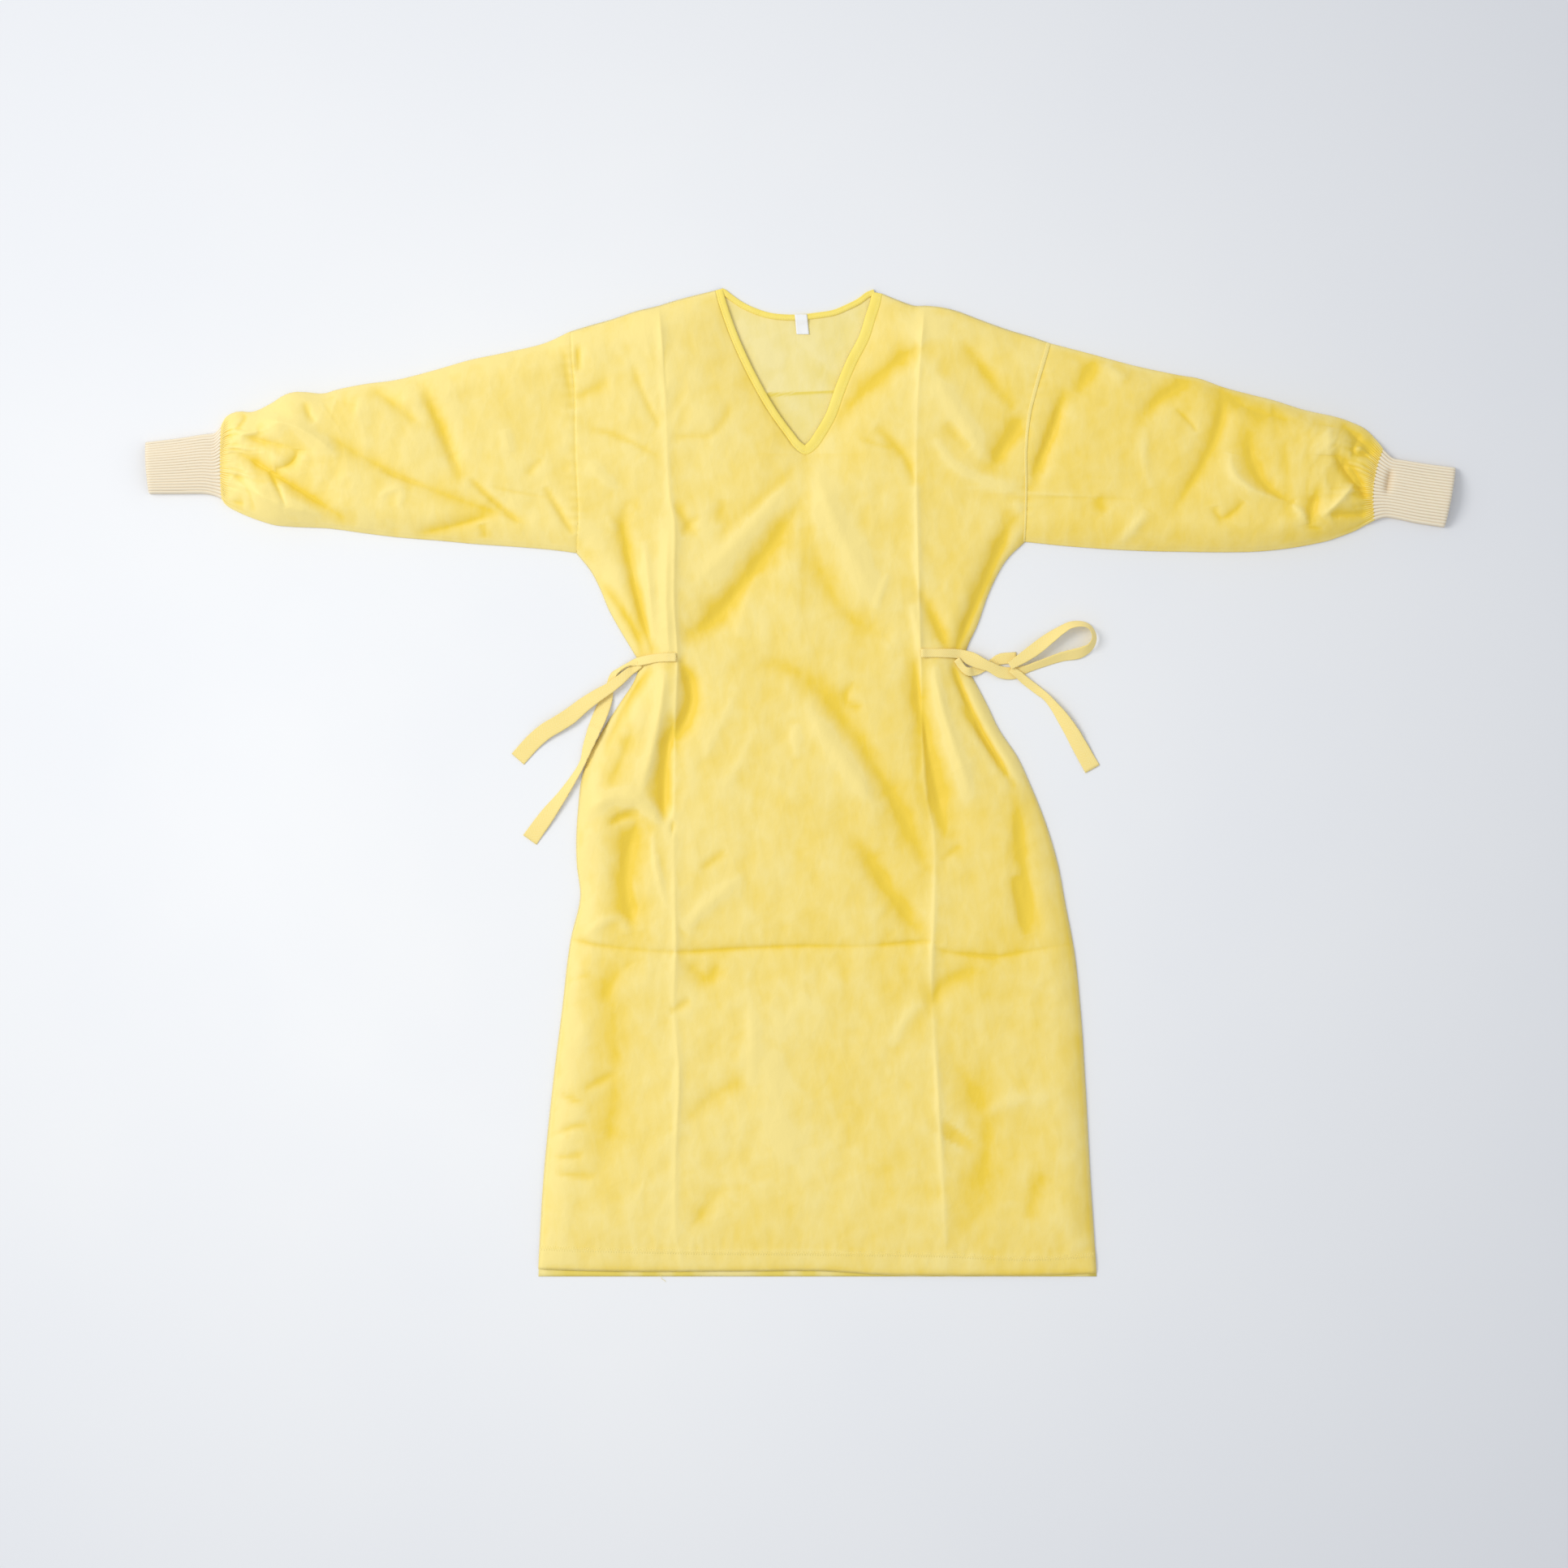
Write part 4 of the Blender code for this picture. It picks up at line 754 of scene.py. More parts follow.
def cloth_finish(name, lit, painted_shade_colour):
    """Thin crisp cloth with clouds and fine wrinkles, and painted highlights and painted shade in its colour.
    """
    finish, shader, pen, place = new_finish(
        name, Roughness=0.5, Specular_IOR_Level=0.32, Sheen_Weight=0.12, Sheen_Roughness=0.45
    )
    hollow = pen.node("ShaderNodeAttribute", {"attribute_name": "hollow"}, out=2)
    patches = pen.clouds(place, 0.09, detail=4, roughness=0.6)
    streaks = pen.clouds(pen.stretched(place, (90, 22, 30), turn=-34), 1, detail=3, roughness=0.65)
    drawn_out = pen.stretched(place, (1, 0.45, 1), turn=-30)
    wrinkles = pen.clouds(drawn_out, 0.02, detail=5, roughness=0.62, distortion=0.6)
    wide_facets, small_facets = [
        pen.node("ShaderNodeTexVoronoi", {"feature": "F1", "distance": "MANHATTAN"}, {
            "Vector": pen.stretched(place, (1, 0.7, 1), turn=turn), "Scale": scale, "Randomness": 1,
        })
        for scale, turn in (WIDE_FACETS, SMALL_FACETS)
    ]
    # Besides random patches and streaks, painted shade: deeper colour in the valleys of the fine wrinkles and
    # in the pits of the small facets, and paler on their crests.
    tone = (patches - 0.5) * 0.7 + (streaks - 0.5) * 0.25
    tone = tone + (wrinkles - 0.5) * -0.7 + (small_facets - 0.5) * -0.22
    # The colour runs from the lit colour to the painted shade colour.
    depth = (hollow * 0.9 + 0.39 + tone).clamp(0.02, 1)
    colour = pen.mix(depth, lit, painted_shade_colour)
    fibre = pen.clouds(place, 0.0012)
    soft = pen.bump(wrinkles, WRINKLE_DEPTH)
    folded = pen.bump(small_facets, SMALL_FACET_DEPTH, pen.bump(wide_facets, WIDE_FACET_DEPTH, soft))
    connect(pen, shader, Base_Color=colour, Normal=pen.bump(fibre, FIBRE_DEPTH, folded))
    return finish


yellow_cloth = cloth_finish("yellow_cloth", (0.95, 0.77, 0.265), (0.89, 0.63, 0.055))
left_neck, right_neck = neck_halves(NECK_ROWS)
front_grids = []
for half, neck_points in ((LEFT, left_neck), (RIGHT, right_neck)):
    rows = panel_half(
        half, neck_points, NECK_TIP_Y, NECK_TIP_Y, lambda x: along(FRONT_HEM, "x", "y", x), UNDERARM_ROWS
    )
    flat_points = rows.reshape(-1, 2)
    height, hollow = relief(flat_points)
    above_hem = flat_points[:, 1] - along(FRONT_HEM, "x", "y", flat_points[:, 0])
    pucker = np.sin(flat_points[:, 0] * 520 + 2 * np.sin(flat_points[:, 0] * 61))
    on_turn = np.clip((HEM_TURN - above_hem) / (2 * MM), 0, 1)
    height += HEM_TURN_RISE * on_turn + HEM_PUCKER_RISE * pucker * bell(above_hem - HEM_TURN, HEM_PUCKER_REACH)
    places = np.column_stack((flat_points, FRONT_FLOOR + height)).reshape(*rows.shape[:2], 3)
    hollow = hollow.reshape(rows.shape[:2]) + dip_and_turn_shade(places)
    if half is LEFT:
        places, hollow = places[:, ::-1], hollow[:, ::-1]
    front_grids.append((places, hollow))
front_cloth = cloth_piece("front_cloth", front_grids, yellow_cloth, CLOTH_THICKNESS)
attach(front_cloth, "root")
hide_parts("front_panel")


# The back panel is one piece of the same cloth, with a shallow curved neck. It lies flat on the surface, and
# its hem hangs a little lower than the front's. It shows in the neck, where a single layer of cloth is paler,
# with one crisp fold across, and as a thin strip below the front's hem.
BACK_NECK = table(
    "x y",
    (-87, 573.5), (-80, 568), (-67, 559), (-52, 552), (-36, 547), (-19, 545), (0, 545), (18, 547), (37, 550),
    (52, 556), (66, 563), (76, 570.5),
)
BACK_BINDING_WIDTH = 6.5 * MM
BACK_HEM_DROP = 3.5 * MM
BACK_LIFT = 0.5 * MM
FOLD_LEFT = Vector((-39.6 * MM, 453.1 * MM))
FOLD_RIGHT = Vector((43.9 * MM, 456.9 * MM))
FOLD_WIDTH = 1.3 * MM
NECK_FOLDS = table(
    FOLD_COLUMNS,
    (-39, 455, -31, 462, -22, 474, 3, 5, 1.1, 0.5), (-36, 448, -31, 437, -26, 424, 6, 5, -0.9, -0.5),
    (20, 480, 33, 472, 42, 462, 9, 8, -0.6, -0.7), (-70, 530, -50, 505, -30, 492, 8, 9, 0.5, 0.6),
    (-4, 528, 8, 508, 22, 494, 5, 4, 0.5, 0.3), (-10, 440, 8, 430, 20, 412, 8, 8, 0.5, 0.3),
)
SINGLE_LAYER = -0.1
BACK_NECK_ROWS = 110
BACK_SIDE_TIP_Y = 460 * MM
IN_NECK_X = 95 * MM
IN_NECK_Y = 380 * MM
BACK_RIPPLE = 0.45 * MM
STRIP_FROM_Y = -500 * MM
back_edge = beside(smooth_path(BACK_NECK, "xy", 24), -BACK_BINDING_WIDTH / 2)
back_grids = []
fold_slope = (FOLD_RIGHT.y - FOLD_LEFT.y) / (FOLD_RIGHT.x - FOLD_LEFT.x)
back_cloth_finish = cloth_finish("back_cloth_finish", (0.92, 0.785, 0.345), (0.84, 0.66, 0.12))
for half, neck_points in ((LEFT, back_edge[:13]), (RIGHT, back_edge[:11:-1])):
    rows = panel_half(
        half, neck_points, back_edge[12, 1], BACK_SIDE_TIP_Y,
        lambda x: np.full(len(x), FRONT_HEM[-1].y - BACK_HEM_DROP), BACK_NECK_ROWS,
    )[:, ::2]
    flat_points = rows.reshape(-1, 2)
    above_fold = flat_points[:, 1] - FOLD_LEFT.y - fold_slope * (flat_points[:, 0] - FOLD_LEFT.x)
    in_neck = (np.abs(flat_points[:, 0]) < IN_NECK_X) & (flat_points[:, 1] > IN_NECK_Y)
    step = 0.5 * MM * bell(above_fold, FOLD_WIDTH) + 0.25 * MM * np.exp(-np.abs(above_fold) / (9 * MM))
    ripple = BACK_RIPPLE * np.array([crumple(x + 1, y) for x, y in flat_points])
    soft = np.zeros(len(flat_points))
    for fold in NECK_FOLDS:
        distance, share = nearest(flat_points, bent(fold))
        width = fold.width1 + (fold.width2 - fold.width1) * share
        soft += (fold.rise1 + (fold.rise2 - fold.rise1) * share) * bell(distance, width)
    height = BACK_LIFT + np.where(in_neck, step + ripple + 0.5 * soft, 0)
    # Painted shade: deeper colour just under the crisp fold and below it, in the hollows of the neck's soft
    # folds, and in uneven patches along the strip below the front's hem.
    shade_under_fold = bell(above_fold + 1.6 * MM, FOLD_WIDTH)
    below = 0.14 * (above_fold < 0)
    hollow = SINGLE_LAYER + np.where(in_neck, 1.3 * shade_under_fold + below - 0.6 * soft / MM, 0)
    strip_shade = 0.6 + 0.6 * np.sin(flat_points[:, 0] * 95 + 2 * np.sin(flat_points[:, 0] * 37))
    hollow += np.where(flat_points[:, 1] < STRIP_FROM_Y, strip_shade, 0)
    height = np.clip(height, 0.4 * MM, BACK_TOP)
    places = np.column_stack((flat_points, height)).reshape(*rows.shape[:2], 3)
    hollow = hollow.reshape(rows.shape[:2])
    if half is LEFT:
        places, hollow = places[:, ::-1], hollow[:, ::-1]
    back_grids.append((places, hollow))
back_cloth = cloth_piece("back_cloth", back_grids, back_cloth_finish, CLOTH_THICKNESS)
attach(back_cloth, "root")
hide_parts("back_panel")


# The hem is turned up and sewn with a zigzag of polyester thread, a shade brighter than the cloth. The thread
# lies on the cloth and dips into it at each hole, and one loose end shows below the hem.
HEM_STITCHES = table("x y", (-304, -540), (-147, -544), (31, -546), (168, -548), (269, -552), (342, -548))
HEM_PITCH = 3 * MM
HEM_ZIGZAG = 2.9 * MM
THREAD_RADIUS = 0.22 * MM
SKY = 0.2
LOOSE_END = table(
    "x y z",
    (-163, -571, 3.5), (-162.5, -574, 2.2), (-161, -577, 1.4), (-158.5, -578, 1), (-157, -580, 0.6),
)
STITCH_PITCH = 3 * MM
STITCH_LENGTH = 2.2 * MM
STITCH_ARCH = 0.14 * MM
STITCH_SINK = 0.05 * MM


def laid(piece, lines):
    """Lines of X and Y laid on a piece, each an arch whose ends sink in. Lines that miss it are left out."""
    tree = BVHTree.FromObject(piece, bpy.context.evaluated_depsgraph_get())
    strands = []
    for line in lines:
        hits = [tree.ray_cast(Vector((x, y, SKY)), Vector((0, 0, -1)))[0] for x, y in line]
        if all(hits):
            lift = STITCH_ARCH * np.sin(np.pi * np.linspace(0, 1, len(line))) - STITCH_SINK
            strands.append(np.column_stack((line, [hit.z for hit in hits] + lift)))
    return strands


def sewing(name, strands, radius, finish):
    """Strands of thread, each four-sided round its line of places, as one piece."""
    points, faces = [], []
    for strand in strands:
        run = np.gradient(strand, axis=0)
        side = np.column_stack((-run[:, 1], run[:, 0], np.zeros(len(run))))
        side *= radius / np.maximum(np.linalg.norm(side, axis=1), 1e-9)[:, None]
        up = np.array([0, 0, radius])
        first = len(points)
        corners = (strand - side, strand - up, strand + side, strand + up)
        points.extend(np.stack(corners, axis=1).reshape(-1, 3))
        for number in range(first, first + 4 * (len(strand) - 1), 4):
            for corner in range(4):
                after = (corner + 1) % 4
                faces.append((number + corner, number + after, number + 4 + after, number + 4 + corner))
        last = first + 4 * (len(strand) - 1)
        faces.extend(((first + 3, first + 2, first + 1, first), (last, last + 1, last + 2, last + 3)))
    piece = new_piece(name, [tuple(point) for point in points], faces, finish)
    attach(piece, "root")
    return piece


def stitch_lines(path, pitch, length):
    """A row of straight stitches along a path: three places for each."""
    walked = np.concatenate(([0], np.cumsum(np.linalg.norm(np.diff(path, axis=0), axis=1))))
    starts = np.arange(pitch / 2, walked[-1] - length, pitch)
    places = starts[:, None] + length * np.array([0, 0.5, 1])
    return np.stack((np.interp(places, walked, path[:, 0]), np.interp(places, walked, path[:, 1])), axis=-1)


thread, shader, pen, place = new_finish("polyester_thread", Roughness=0.55, Specular_IOR_Level=0.4)
connect(pen, shader, Base_Color=pen.mix(pen.clouds(place, 0.004), (0.98, 0.85, 0.34), (0.97, 0.8, 0.24)))
hem_x = np.arange(HEM_STITCHES[0].x, HEM_STITCHES[-1].x, HEM_PITCH / 2)
hem_y = along(HEM_STITCHES, "x", "y", hem_x) + HEM_ZIGZAG * np.where(np.arange(len(hem_x)) % 2, 1, -1)
corners = np.column_stack((hem_x, hem_y))
zigzag = np.stack((corners[:-1], (corners[:-1] + corners[1:]) / 2, corners[1:]), axis=1)
hem_strands = laid(front_cloth, zigzag)
hem_strands.append(np.array([(end.x, end.y, end.z) for end in LOOSE_END]))
hem_zigzag = sewing("hem_zigzag", hem_strands, THREAD_RADIUS, thread)


# The seam of the right armhole is pressed towards the body and sewn down flat, which leaves a narrow raised
# band with a row of stitches along each edge. The band narrows towards the underarm.
FLANGE = table("y width", (511, 5.4), (470, 5), (425, 4.4), (385, 3.6), (343, 3), (281, 2.4))
FLANGE_RISE = 0.75 * MM
FLANGE_TONE = -0.5
FLANGE_STITCH_SHARES = (0.22, 0.8)
BAND_SHAPE = ((0.02, -0.5), (0.1, 0.7), (0.3, 1), (0.7, 1), (0.9, 0.75), (1, -0.5))
armhole_line = smooth_path(RIGHT_ARMHOLE, "xy", 90)
band_width = along(FLANGE, "y", "width", armhole_line[:, 1])
band_lines = [beside(armhole_line, -band_width * across) for across, rise in BAND_SHAPE]
band = [
    np.column_stack((line, front_top(line) + CLOTH_THICKNESS + rise * FLANGE_RISE))
    for line, (across, rise) in zip(band_lines, BAND_SHAPE)
]
band_tone = np.full((len(band), len(armhole_line)), FLANGE_TONE)
flange = cloth_piece("right_armhole_band", [(np.array(band)[::-1], band_tone)], yellow_cloth)
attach(flange, "root")
band_rows = [
    stitch_lines(beside(armhole_line, -band_width * across), STITCH_PITCH, STITCH_LENGTH)
    for across in FLANGE_STITCH_SHARES
]
flange_thread = sewing(
    "right_armhole_stitches", laid(flange, np.concatenate(band_rows)), THREAD_RADIUS, thread
)


# Each sleeve is one piece of the same cloth, folded along its top and sewn below. It is set into the armhole,
# and its end is gathered into the cuff in a dozen uneven folds and many short pleats.
GATHERS = 13
GATHER_RISE = 3 * MM
GATHER_REACH = 38 * MM
PLEATS = 42
PLEAT_RISE = 1.4 * MM
PLEAT_REACH = 10 * MM
SEAM_TUCK = 1.6 * MM
TUCK_DROP = 0.4 * MM
UNDERARM_SEAM = 3.2 * MM
UNDERARM_GROOVE = 0.5 * MM
GROOVE_WIDTH = 1.1 * MM
SLEEVE_RINGS = 168
SLEEVE_UPPER = 236
SLEEVE_LOWER = 30
SEAM_GAP = 0.12 * MM
FOLDED_EDGE = 0.0008
SLEEVE_SHARE = 0.78
SLEEVE_TONE = {"left": -0.12, "right": 0.22}
CUFF_WALL = 2 * MM
CUFF_CROWN = 12 * MM
CUFF_FULLNESS = 0.7
ON_CUFF = 0.7 * MM
ON_CUFF_REACH = 9 * MM
for half, node in ((LEFT, "sleeve_left"), (RIGHT, "sleeve_right")):
    stations = smooth_path(half.sleeve, ("top_x", "top_y", "bottom_x", "bottom_y"), SLEEVE_RINGS)
    across = np.concatenate((np.linspace(0, 1, SLEEVE_UPPER), np.linspace(1, 0, SLEEVE_LOWER + 2)[1:-1]))
    across[1], across[SLEEVE_UPPER - 2] = FOLDED_EDGE, 1 - FOLDED_EDGE
    top_y, bottom_y = half.armhole[0].y, half.armhole[-1].y
    hole_y = bottom_y + (top_y - bottom_y) * across
    hole_bend = along(half.armhole, "y", "x", hole_y) - (
        half.armhole[-1].x + (half.armhole[0].x - half.armhole[-1].x) * across
    )
    end_bend = 4 * half.bow * across * (1 - across)
    share = np.linspace(0, 1, SLEEVE_RINGS + 1)[:, None]
    x = stations[:, 2:3] + (stations[:, 0:1] - stations[:, 2:3]) * across
    x += (1 - share) * hole_bend + share * end_bend + half.outward * SEAM_GAP * (1 - share) ** 40
    y = stations[:, 3:4] + (stations[:, 1:2] - stations[:, 3:4]) * across
    flat_points = np.column_stack((x.ravel(), y.ravel()))
    height, hollow = relief(flat_points)
    height = height.reshape(x.shape)
    to_cuff = np.abs(x - x[-1])
    wave = across * GATHERS + 0.35 * np.sin(9 * across + 1) + 0.2 * np.sin(31 * across)
    reach = GATHER_REACH * (0.65 + 0.35 * np.sin(17 * across + 2))
    rise = GATHER_RISE * (0.75 + 0.25 * np.sin(25 * across)) * np.exp(-((to_cuff / reach) ** 1.5))
    height += rise * (0.5 - 0.5 * np.cos(2 * np.pi * wave)) * np.sin(np.pi * across) ** 0.5
    cuff_top = 2 * CUFF_WALL + CUFF_CROWN * (4 * across * (1 - across)) ** CUFF_FULLNESS
    height += (cuff_top + ON_CUFF - FRONT_FLOOR - height) * bell(to_cuff, ON_CUFF_REACH)
    band = np.exp(-((to_cuff / PLEAT_REACH) ** 4)) * np.sin(np.pi * across) ** 0.25
    pleat = np.cos(2 * np.pi * (PLEATS * across + 0.5 * np.sin(11 * across)))
    height += PLEAT_RISE * band * (0.5 + 0.5 * pleat)
    height -= UNDERARM_GROOVE * bell(y - stations[:, 3:4] - UNDERARM_SEAM, GROOVE_WIDTH) * (across > 0)
    z = FRONT_FLOOR + height
    z[:, SLEEVE_UPPER:] = 0.5 * MM
    # Painted shade: the colour is deeper between the gathers and in the pleats' valleys and paler on the
    # pleats' crests. It turns paler towards the left cuff and deeper towards the right one.
    shade_between_gathers = (0.5 + 0.5 * np.cos(2 * np.pi * wave)) ** 3 * rise / GATHER_RISE
    hollow = np.clip(SLEEVE_SHARE * hollow.reshape(x.shape) - 0.6 * band * pleat + 0.5 * shade_between_gathers, -1, 1)
    places = np.stack((x, y, z), axis=-1)
    hollow = hollow + dip_and_turn_shade(places) + SLEEVE_TONE[half.name] * (0.3 + 0.7 * share)
    on_top = np.where(np.arange(len(across)) < SLEEVE_UPPER, np.sin(np.pi * across) ** 0.3, 0)
    tuck = (half.outward * (0.1 * MM + SEAM_TUCK * on_top), 0 * on_top, TUCK_DROP * on_top)
    places = np.concatenate((places[:1] - np.stack(tuck, axis=-1), places))
    # Painted shade on the ring tucked into the cuff.
    hollow = np.concatenate((0 * hollow[:1] + 0.6, hollow))
    if half is RIGHT:
        places, hollow = places[:, ::-1], hollow[:, ::-1]
    sleeve = cloth_piece(f"{node}_cloth", [(places, hollow)], yellow_cloth, CLOTH_THICKNESS, closed=True)
    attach(sleeve, "root")
    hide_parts(node)
    cut_width = 2 * (half.sleeve[0].top_y - half.sleeve[0].bottom_y)
    cut_length = abs(half.sleeve[-1].bottom_x - half.sleeve[0].bottom_x)


# Each cuff is a tube of cream rib knit, a little narrower than the sleeve's gathered end. Its ribs run along
# the arm, and its outer end is folded, so it is soft and thick.
LEFT_CUFF = table(
    "top_x top_y bottom_x bottom_y",
    (-673, 416, -673, 331), (-681, 407, -681, 334.5), (-695, 405, -694, 337), (-727, 400, -725, 337),
    (-761, 396, -757, 337),
)
RIGHT_CUFF = table(
    "top_x top_y bottom_x bottom_y",
    (677, 388, 667, 306), (688, 378, 679, 309.5), (702, 375, 692, 308), (730, 370.5, 716, 303),
    (760.5, 366.5, 748, 298),
)
CUFF_RIBS = 20
RIB_POINTS = 8
RIB_RISE = 1.2 * MM
RIB_POINTS_BELOW = 5
CUFF_DENTS = {"left": 0, "right": 5 * MM}
DENT_ALONG = 0.29
DENT_LENGTH = 0.075
DENT_ACROSS = 0.6
DENT_WIDTH = 0.2
RIB_SHADE = {"left": 1.1, "right": 1.8}
CUFF_RINGS = 44
CUFF_TUCK = 3 * MM
CUFF_MIDDLE = 1.35 * MM
KNIT_THICKNESS = 0.8 * MM
FLARE_REACH = 0.14

cuff_knit, shader, pen, place = new_finish(
    "cuff_knit", Roughness=0.9, Specular_IOR_Level=0.2, Sheen_Weight=0.25, Sheen_Roughness=0.6
)
hollow = pen.node("ShaderNodeAttribute", {"attribute_name": "hollow"}, out=2)
loops = pen.node("ShaderNodeTexWave", {"wave_type": "BANDS", "bands_direction": "X"}, {
    "Vector": place, "Scale": 330, "Distortion": 3, "Detail": 2, "Detail Scale": 9,
})
fuzz = pen.clouds(place, 0.0016, detail=3)
# The knit's colour runs from cream to a painted shade brown, by the painted shade of each point.
connect(
    pen, shader,
    Base_Color=pen.mix(
        (hollow * 0.5 + 0.45 + (fuzz - 0.5) * 0.2).clamp(0, 1), (0.91, 0.81, 0.62), (0.76, 0.61, 0.41)
    ),
    Normal=pen.bump(loops * 0.5 + fuzz, 0.0001),
)
for half, rows, node in ((LEFT, LEFT_CUFF, "cuff_left"), (RIGHT, RIGHT_CUFF, "cuff_right")):
    stations = smooth_path(rows, ("top_x", "top_y", "bottom_x", "bottom_y"), CUFF_RINGS)
    upper = CUFF_RIBS * RIB_POINTS + 1
    lower = CUFF_RIBS * RIB_POINTS_BELOW
    across = np.concatenate((np.linspace(0, 1, upper), np.linspace(1, 0, lower + 2)[1:-1]))
    is_top = np.arange(len(across)) < upper
    share = np.linspace(0, 1, CUFF_RINGS + 1)[:, None]
    x = stations[:, 2:3] + (stations[:, 0:1] - stations[:, 2:3]) * across
    x += (1 - share) * 4 * half.bow * across * (1 - across) + half.outward * SEAM_GAP * (1 - share) ** 40
    y = stations[:, 3:4] + (stations[:, 1:2] - stations[:, 3:4]) * across
    rib = np.cos(2 * np.pi * CUFF_RIBS * across)
    full = (4 * across * (1 - across)) ** CUFF_FULLNESS
    pressed_across = np.exp(-(((across - DENT_ACROSS) / DENT_WIDTH) ** 4))
    pressed = bell(share - DENT_ALONG, DENT_LENGTH) * pressed_across * is_top
    dent = CUFF_DENTS[half.name] * pressed
    mouth = 0.7 * np.clip((share - 0.97) / 0.03, 0, 1) ** 2
    crown = 2 * CUFF_WALL + CUFF_CROWN * full - dent - mouth * CUFF_WALL + RIB_RISE * (0.5 - 0.5 * rib)
    above = CUFF_MIDDLE + (crown - CUFF_MIDDLE) * np.clip(full * 6, 0, 1)
    z = np.where(is_top, above, 0.9 * MM + 0.3 * MM * rib * full)
    flare = bell(share, FLARE_REACH)
    z = z + is_top * flare * RIB_RISE * (0.2 - 0.25 * rib) * full
    # Painted shade: deeper in the rib valleys and in the pressed dent, more strongly on the right cuff.
    knit_shade = RIB_SHADE[half.name] * rib * (0.55 + 0.45 * flare) + dent / (3 * MM)
    places = np.stack((x, y, z + 0 * x), axis=-1)
    sunk = np.column_stack((0 * full, 0 * full, np.where(is_top, 2 * MM * full, 0)))
    inward = np.array([half.outward * CUFF_TUCK, 0, 0]) + sunk
    places = np.concatenate((places[:1] - inward, places))
    # Painted shade on the ring tucked into the sleeve.
    knit_shade = np.concatenate((0.9 + 0 * knit_shade[:1], knit_shade))
    if half is RIGHT:
        places, knit_shade = places[:, ::-1], knit_shade[:, ::-1]
    cuff = cloth_piece(f"{node}_knit", [(places, knit_shade)], cuff_knit, KNIT_THICKNESS, closed=True)
    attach(cuff, "root")
    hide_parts(node)


# The neck is bound: a folded strip of the same cloth covers the raw edge of the V and of the back's curve.
# It is sewn down with one row of stitches near its edge.
BINDING_HEIGHT = 2.2 * MM
BINDING_WOBBLE = 0.15 * MM
LEFT_BINDING_WIDTH = 8.5 * MM
RIGHT_BINDING_WIDTH = 12 * MM
Corner = namedtuple("Corner", "across rise")
BINDING_SHAPE = (
    Corner(-0.02, -0.35), Corner(-0.04, 0.3), Corner(0.03, 0.75), Corner(0.16, 0.95), Corner(0.26, 0.8),
    Corner(0.4, 0.98), Corner(0.62, 1), Corner(0.84, 0.92), Corner(0.97, 0.7), Corner(1.02, 0.2),
    Corner(1, -0.35),
)


def binding(name, path, width, floor_height, finish):
    """A folded strip beside a neck edge, over the cloth's edge."""
    width = np.broadcast_to(width, len(path))
    grid = []
    for corner in BINDING_SHAPE:
        line = beside(path, width * corner.across)
        wobble = np.array([noise.noise(Vector((x * 160, y * 160, corner.across))) for x, y in line])
        height = floor_height + corner.rise * BINDING_HEIGHT + BINDING_WOBBLE * wobble
        grid.append(np.column_stack((line, height)))
    return cloth_piece(name, [(np.array(grid), np.zeros((len(grid), len(path))))], finish)


binding_cloth = cloth_finish("binding_cloth", (0.97, 0.79, 0.185), (0.94, 0.72, 0.1))
left_side, right_side = neck_halves(90)
v_path = np.concatenate((left_side, right_side[-2::-1]))
right_share = np.clip((v_path[:, 0] + 0.02) / 0.04, 0, 1)
v_width = LEFT_BINDING_WIDTH + (RIGHT_BINDING_WIDTH - LEFT_BINDING_WIDTH) * right_share
front_binding = binding("front_binding", v_path, v_width, front_top(v_path) - 0.9 * MM, binding_cloth)
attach(front_binding, "root")
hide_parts("neck_binding_front")
V_STITCH_SHARE = 0.27
v_stitches = stitch_lines(beside(v_path, v_width * V_STITCH_SHARE), STITCH_PITCH, STITCH_LENGTH)
v_thread = sewing(
    "front_binding_stitches", laid(front_binding, v_stitches), THREAD_RADIUS, thread
)
BACK_BINDING_ENDS = table("x y", (-91.5, 575.5), (84.5, 574))
back_path = smooth_path(BACK_BINDING_ENDS[:1] + BACK_NECK + BACK_BINDING_ENDS[1:], "xy", 80)
back_floor = np.full(len(back_path), 0.9 * MM)
back_binding = binding("back_binding", back_path, -BACK_BINDING_WIDTH, back_floor, binding_cloth)
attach(back_binding, "root")
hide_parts("neck_binding_back")
BACK_STITCH_SHARE = 0.78
BACK_STITCH_LENGTH = 1.9 * MM
back_stitch_path = beside(back_path, -BACK_BINDING_WIDTH * BACK_STITCH_SHARE)
back_stitches = stitch_lines(back_stitch_path, STITCH_PITCH, BACK_STITCH_LENGTH)
back_thread = sewing(
    "back_binding_stitches", laid(back_binding, back_stitches), THREAD_RADIUS, thread
)


# A small white label of folded satin ribbon is sewn in at the middle of the back neck. It is bare.
LABEL_LEFT = -7 * MM
LABEL_WIDTH = 14.5 * MM
LABEL_LENGTH = 23 * MM
LABEL_LEAN = 2.2 * MM
LABEL_CURL = 0.5 * MM
LABEL_ROWS = 24
LABEL_COLUMNS = 9
label_satin, shader, pen, place = new_finish("label_satin", Roughness=0.45, Specular_IOR_Level=0.4)
threads = pen.node("ShaderNodeTexWave", {"bands_direction": "Y"}, {"Vector": place, "Scale": 480})
connect(
    pen, shader,
    Base_Color=pen.mix(pen.clouds(place, 0.012).clamp(0.3, 0.7), (0.925, 0.92, 0.91), (0.88, 0.875, 0.865)),
    Normal=pen.bump(threads, 0.00005),
)
label_rows = []
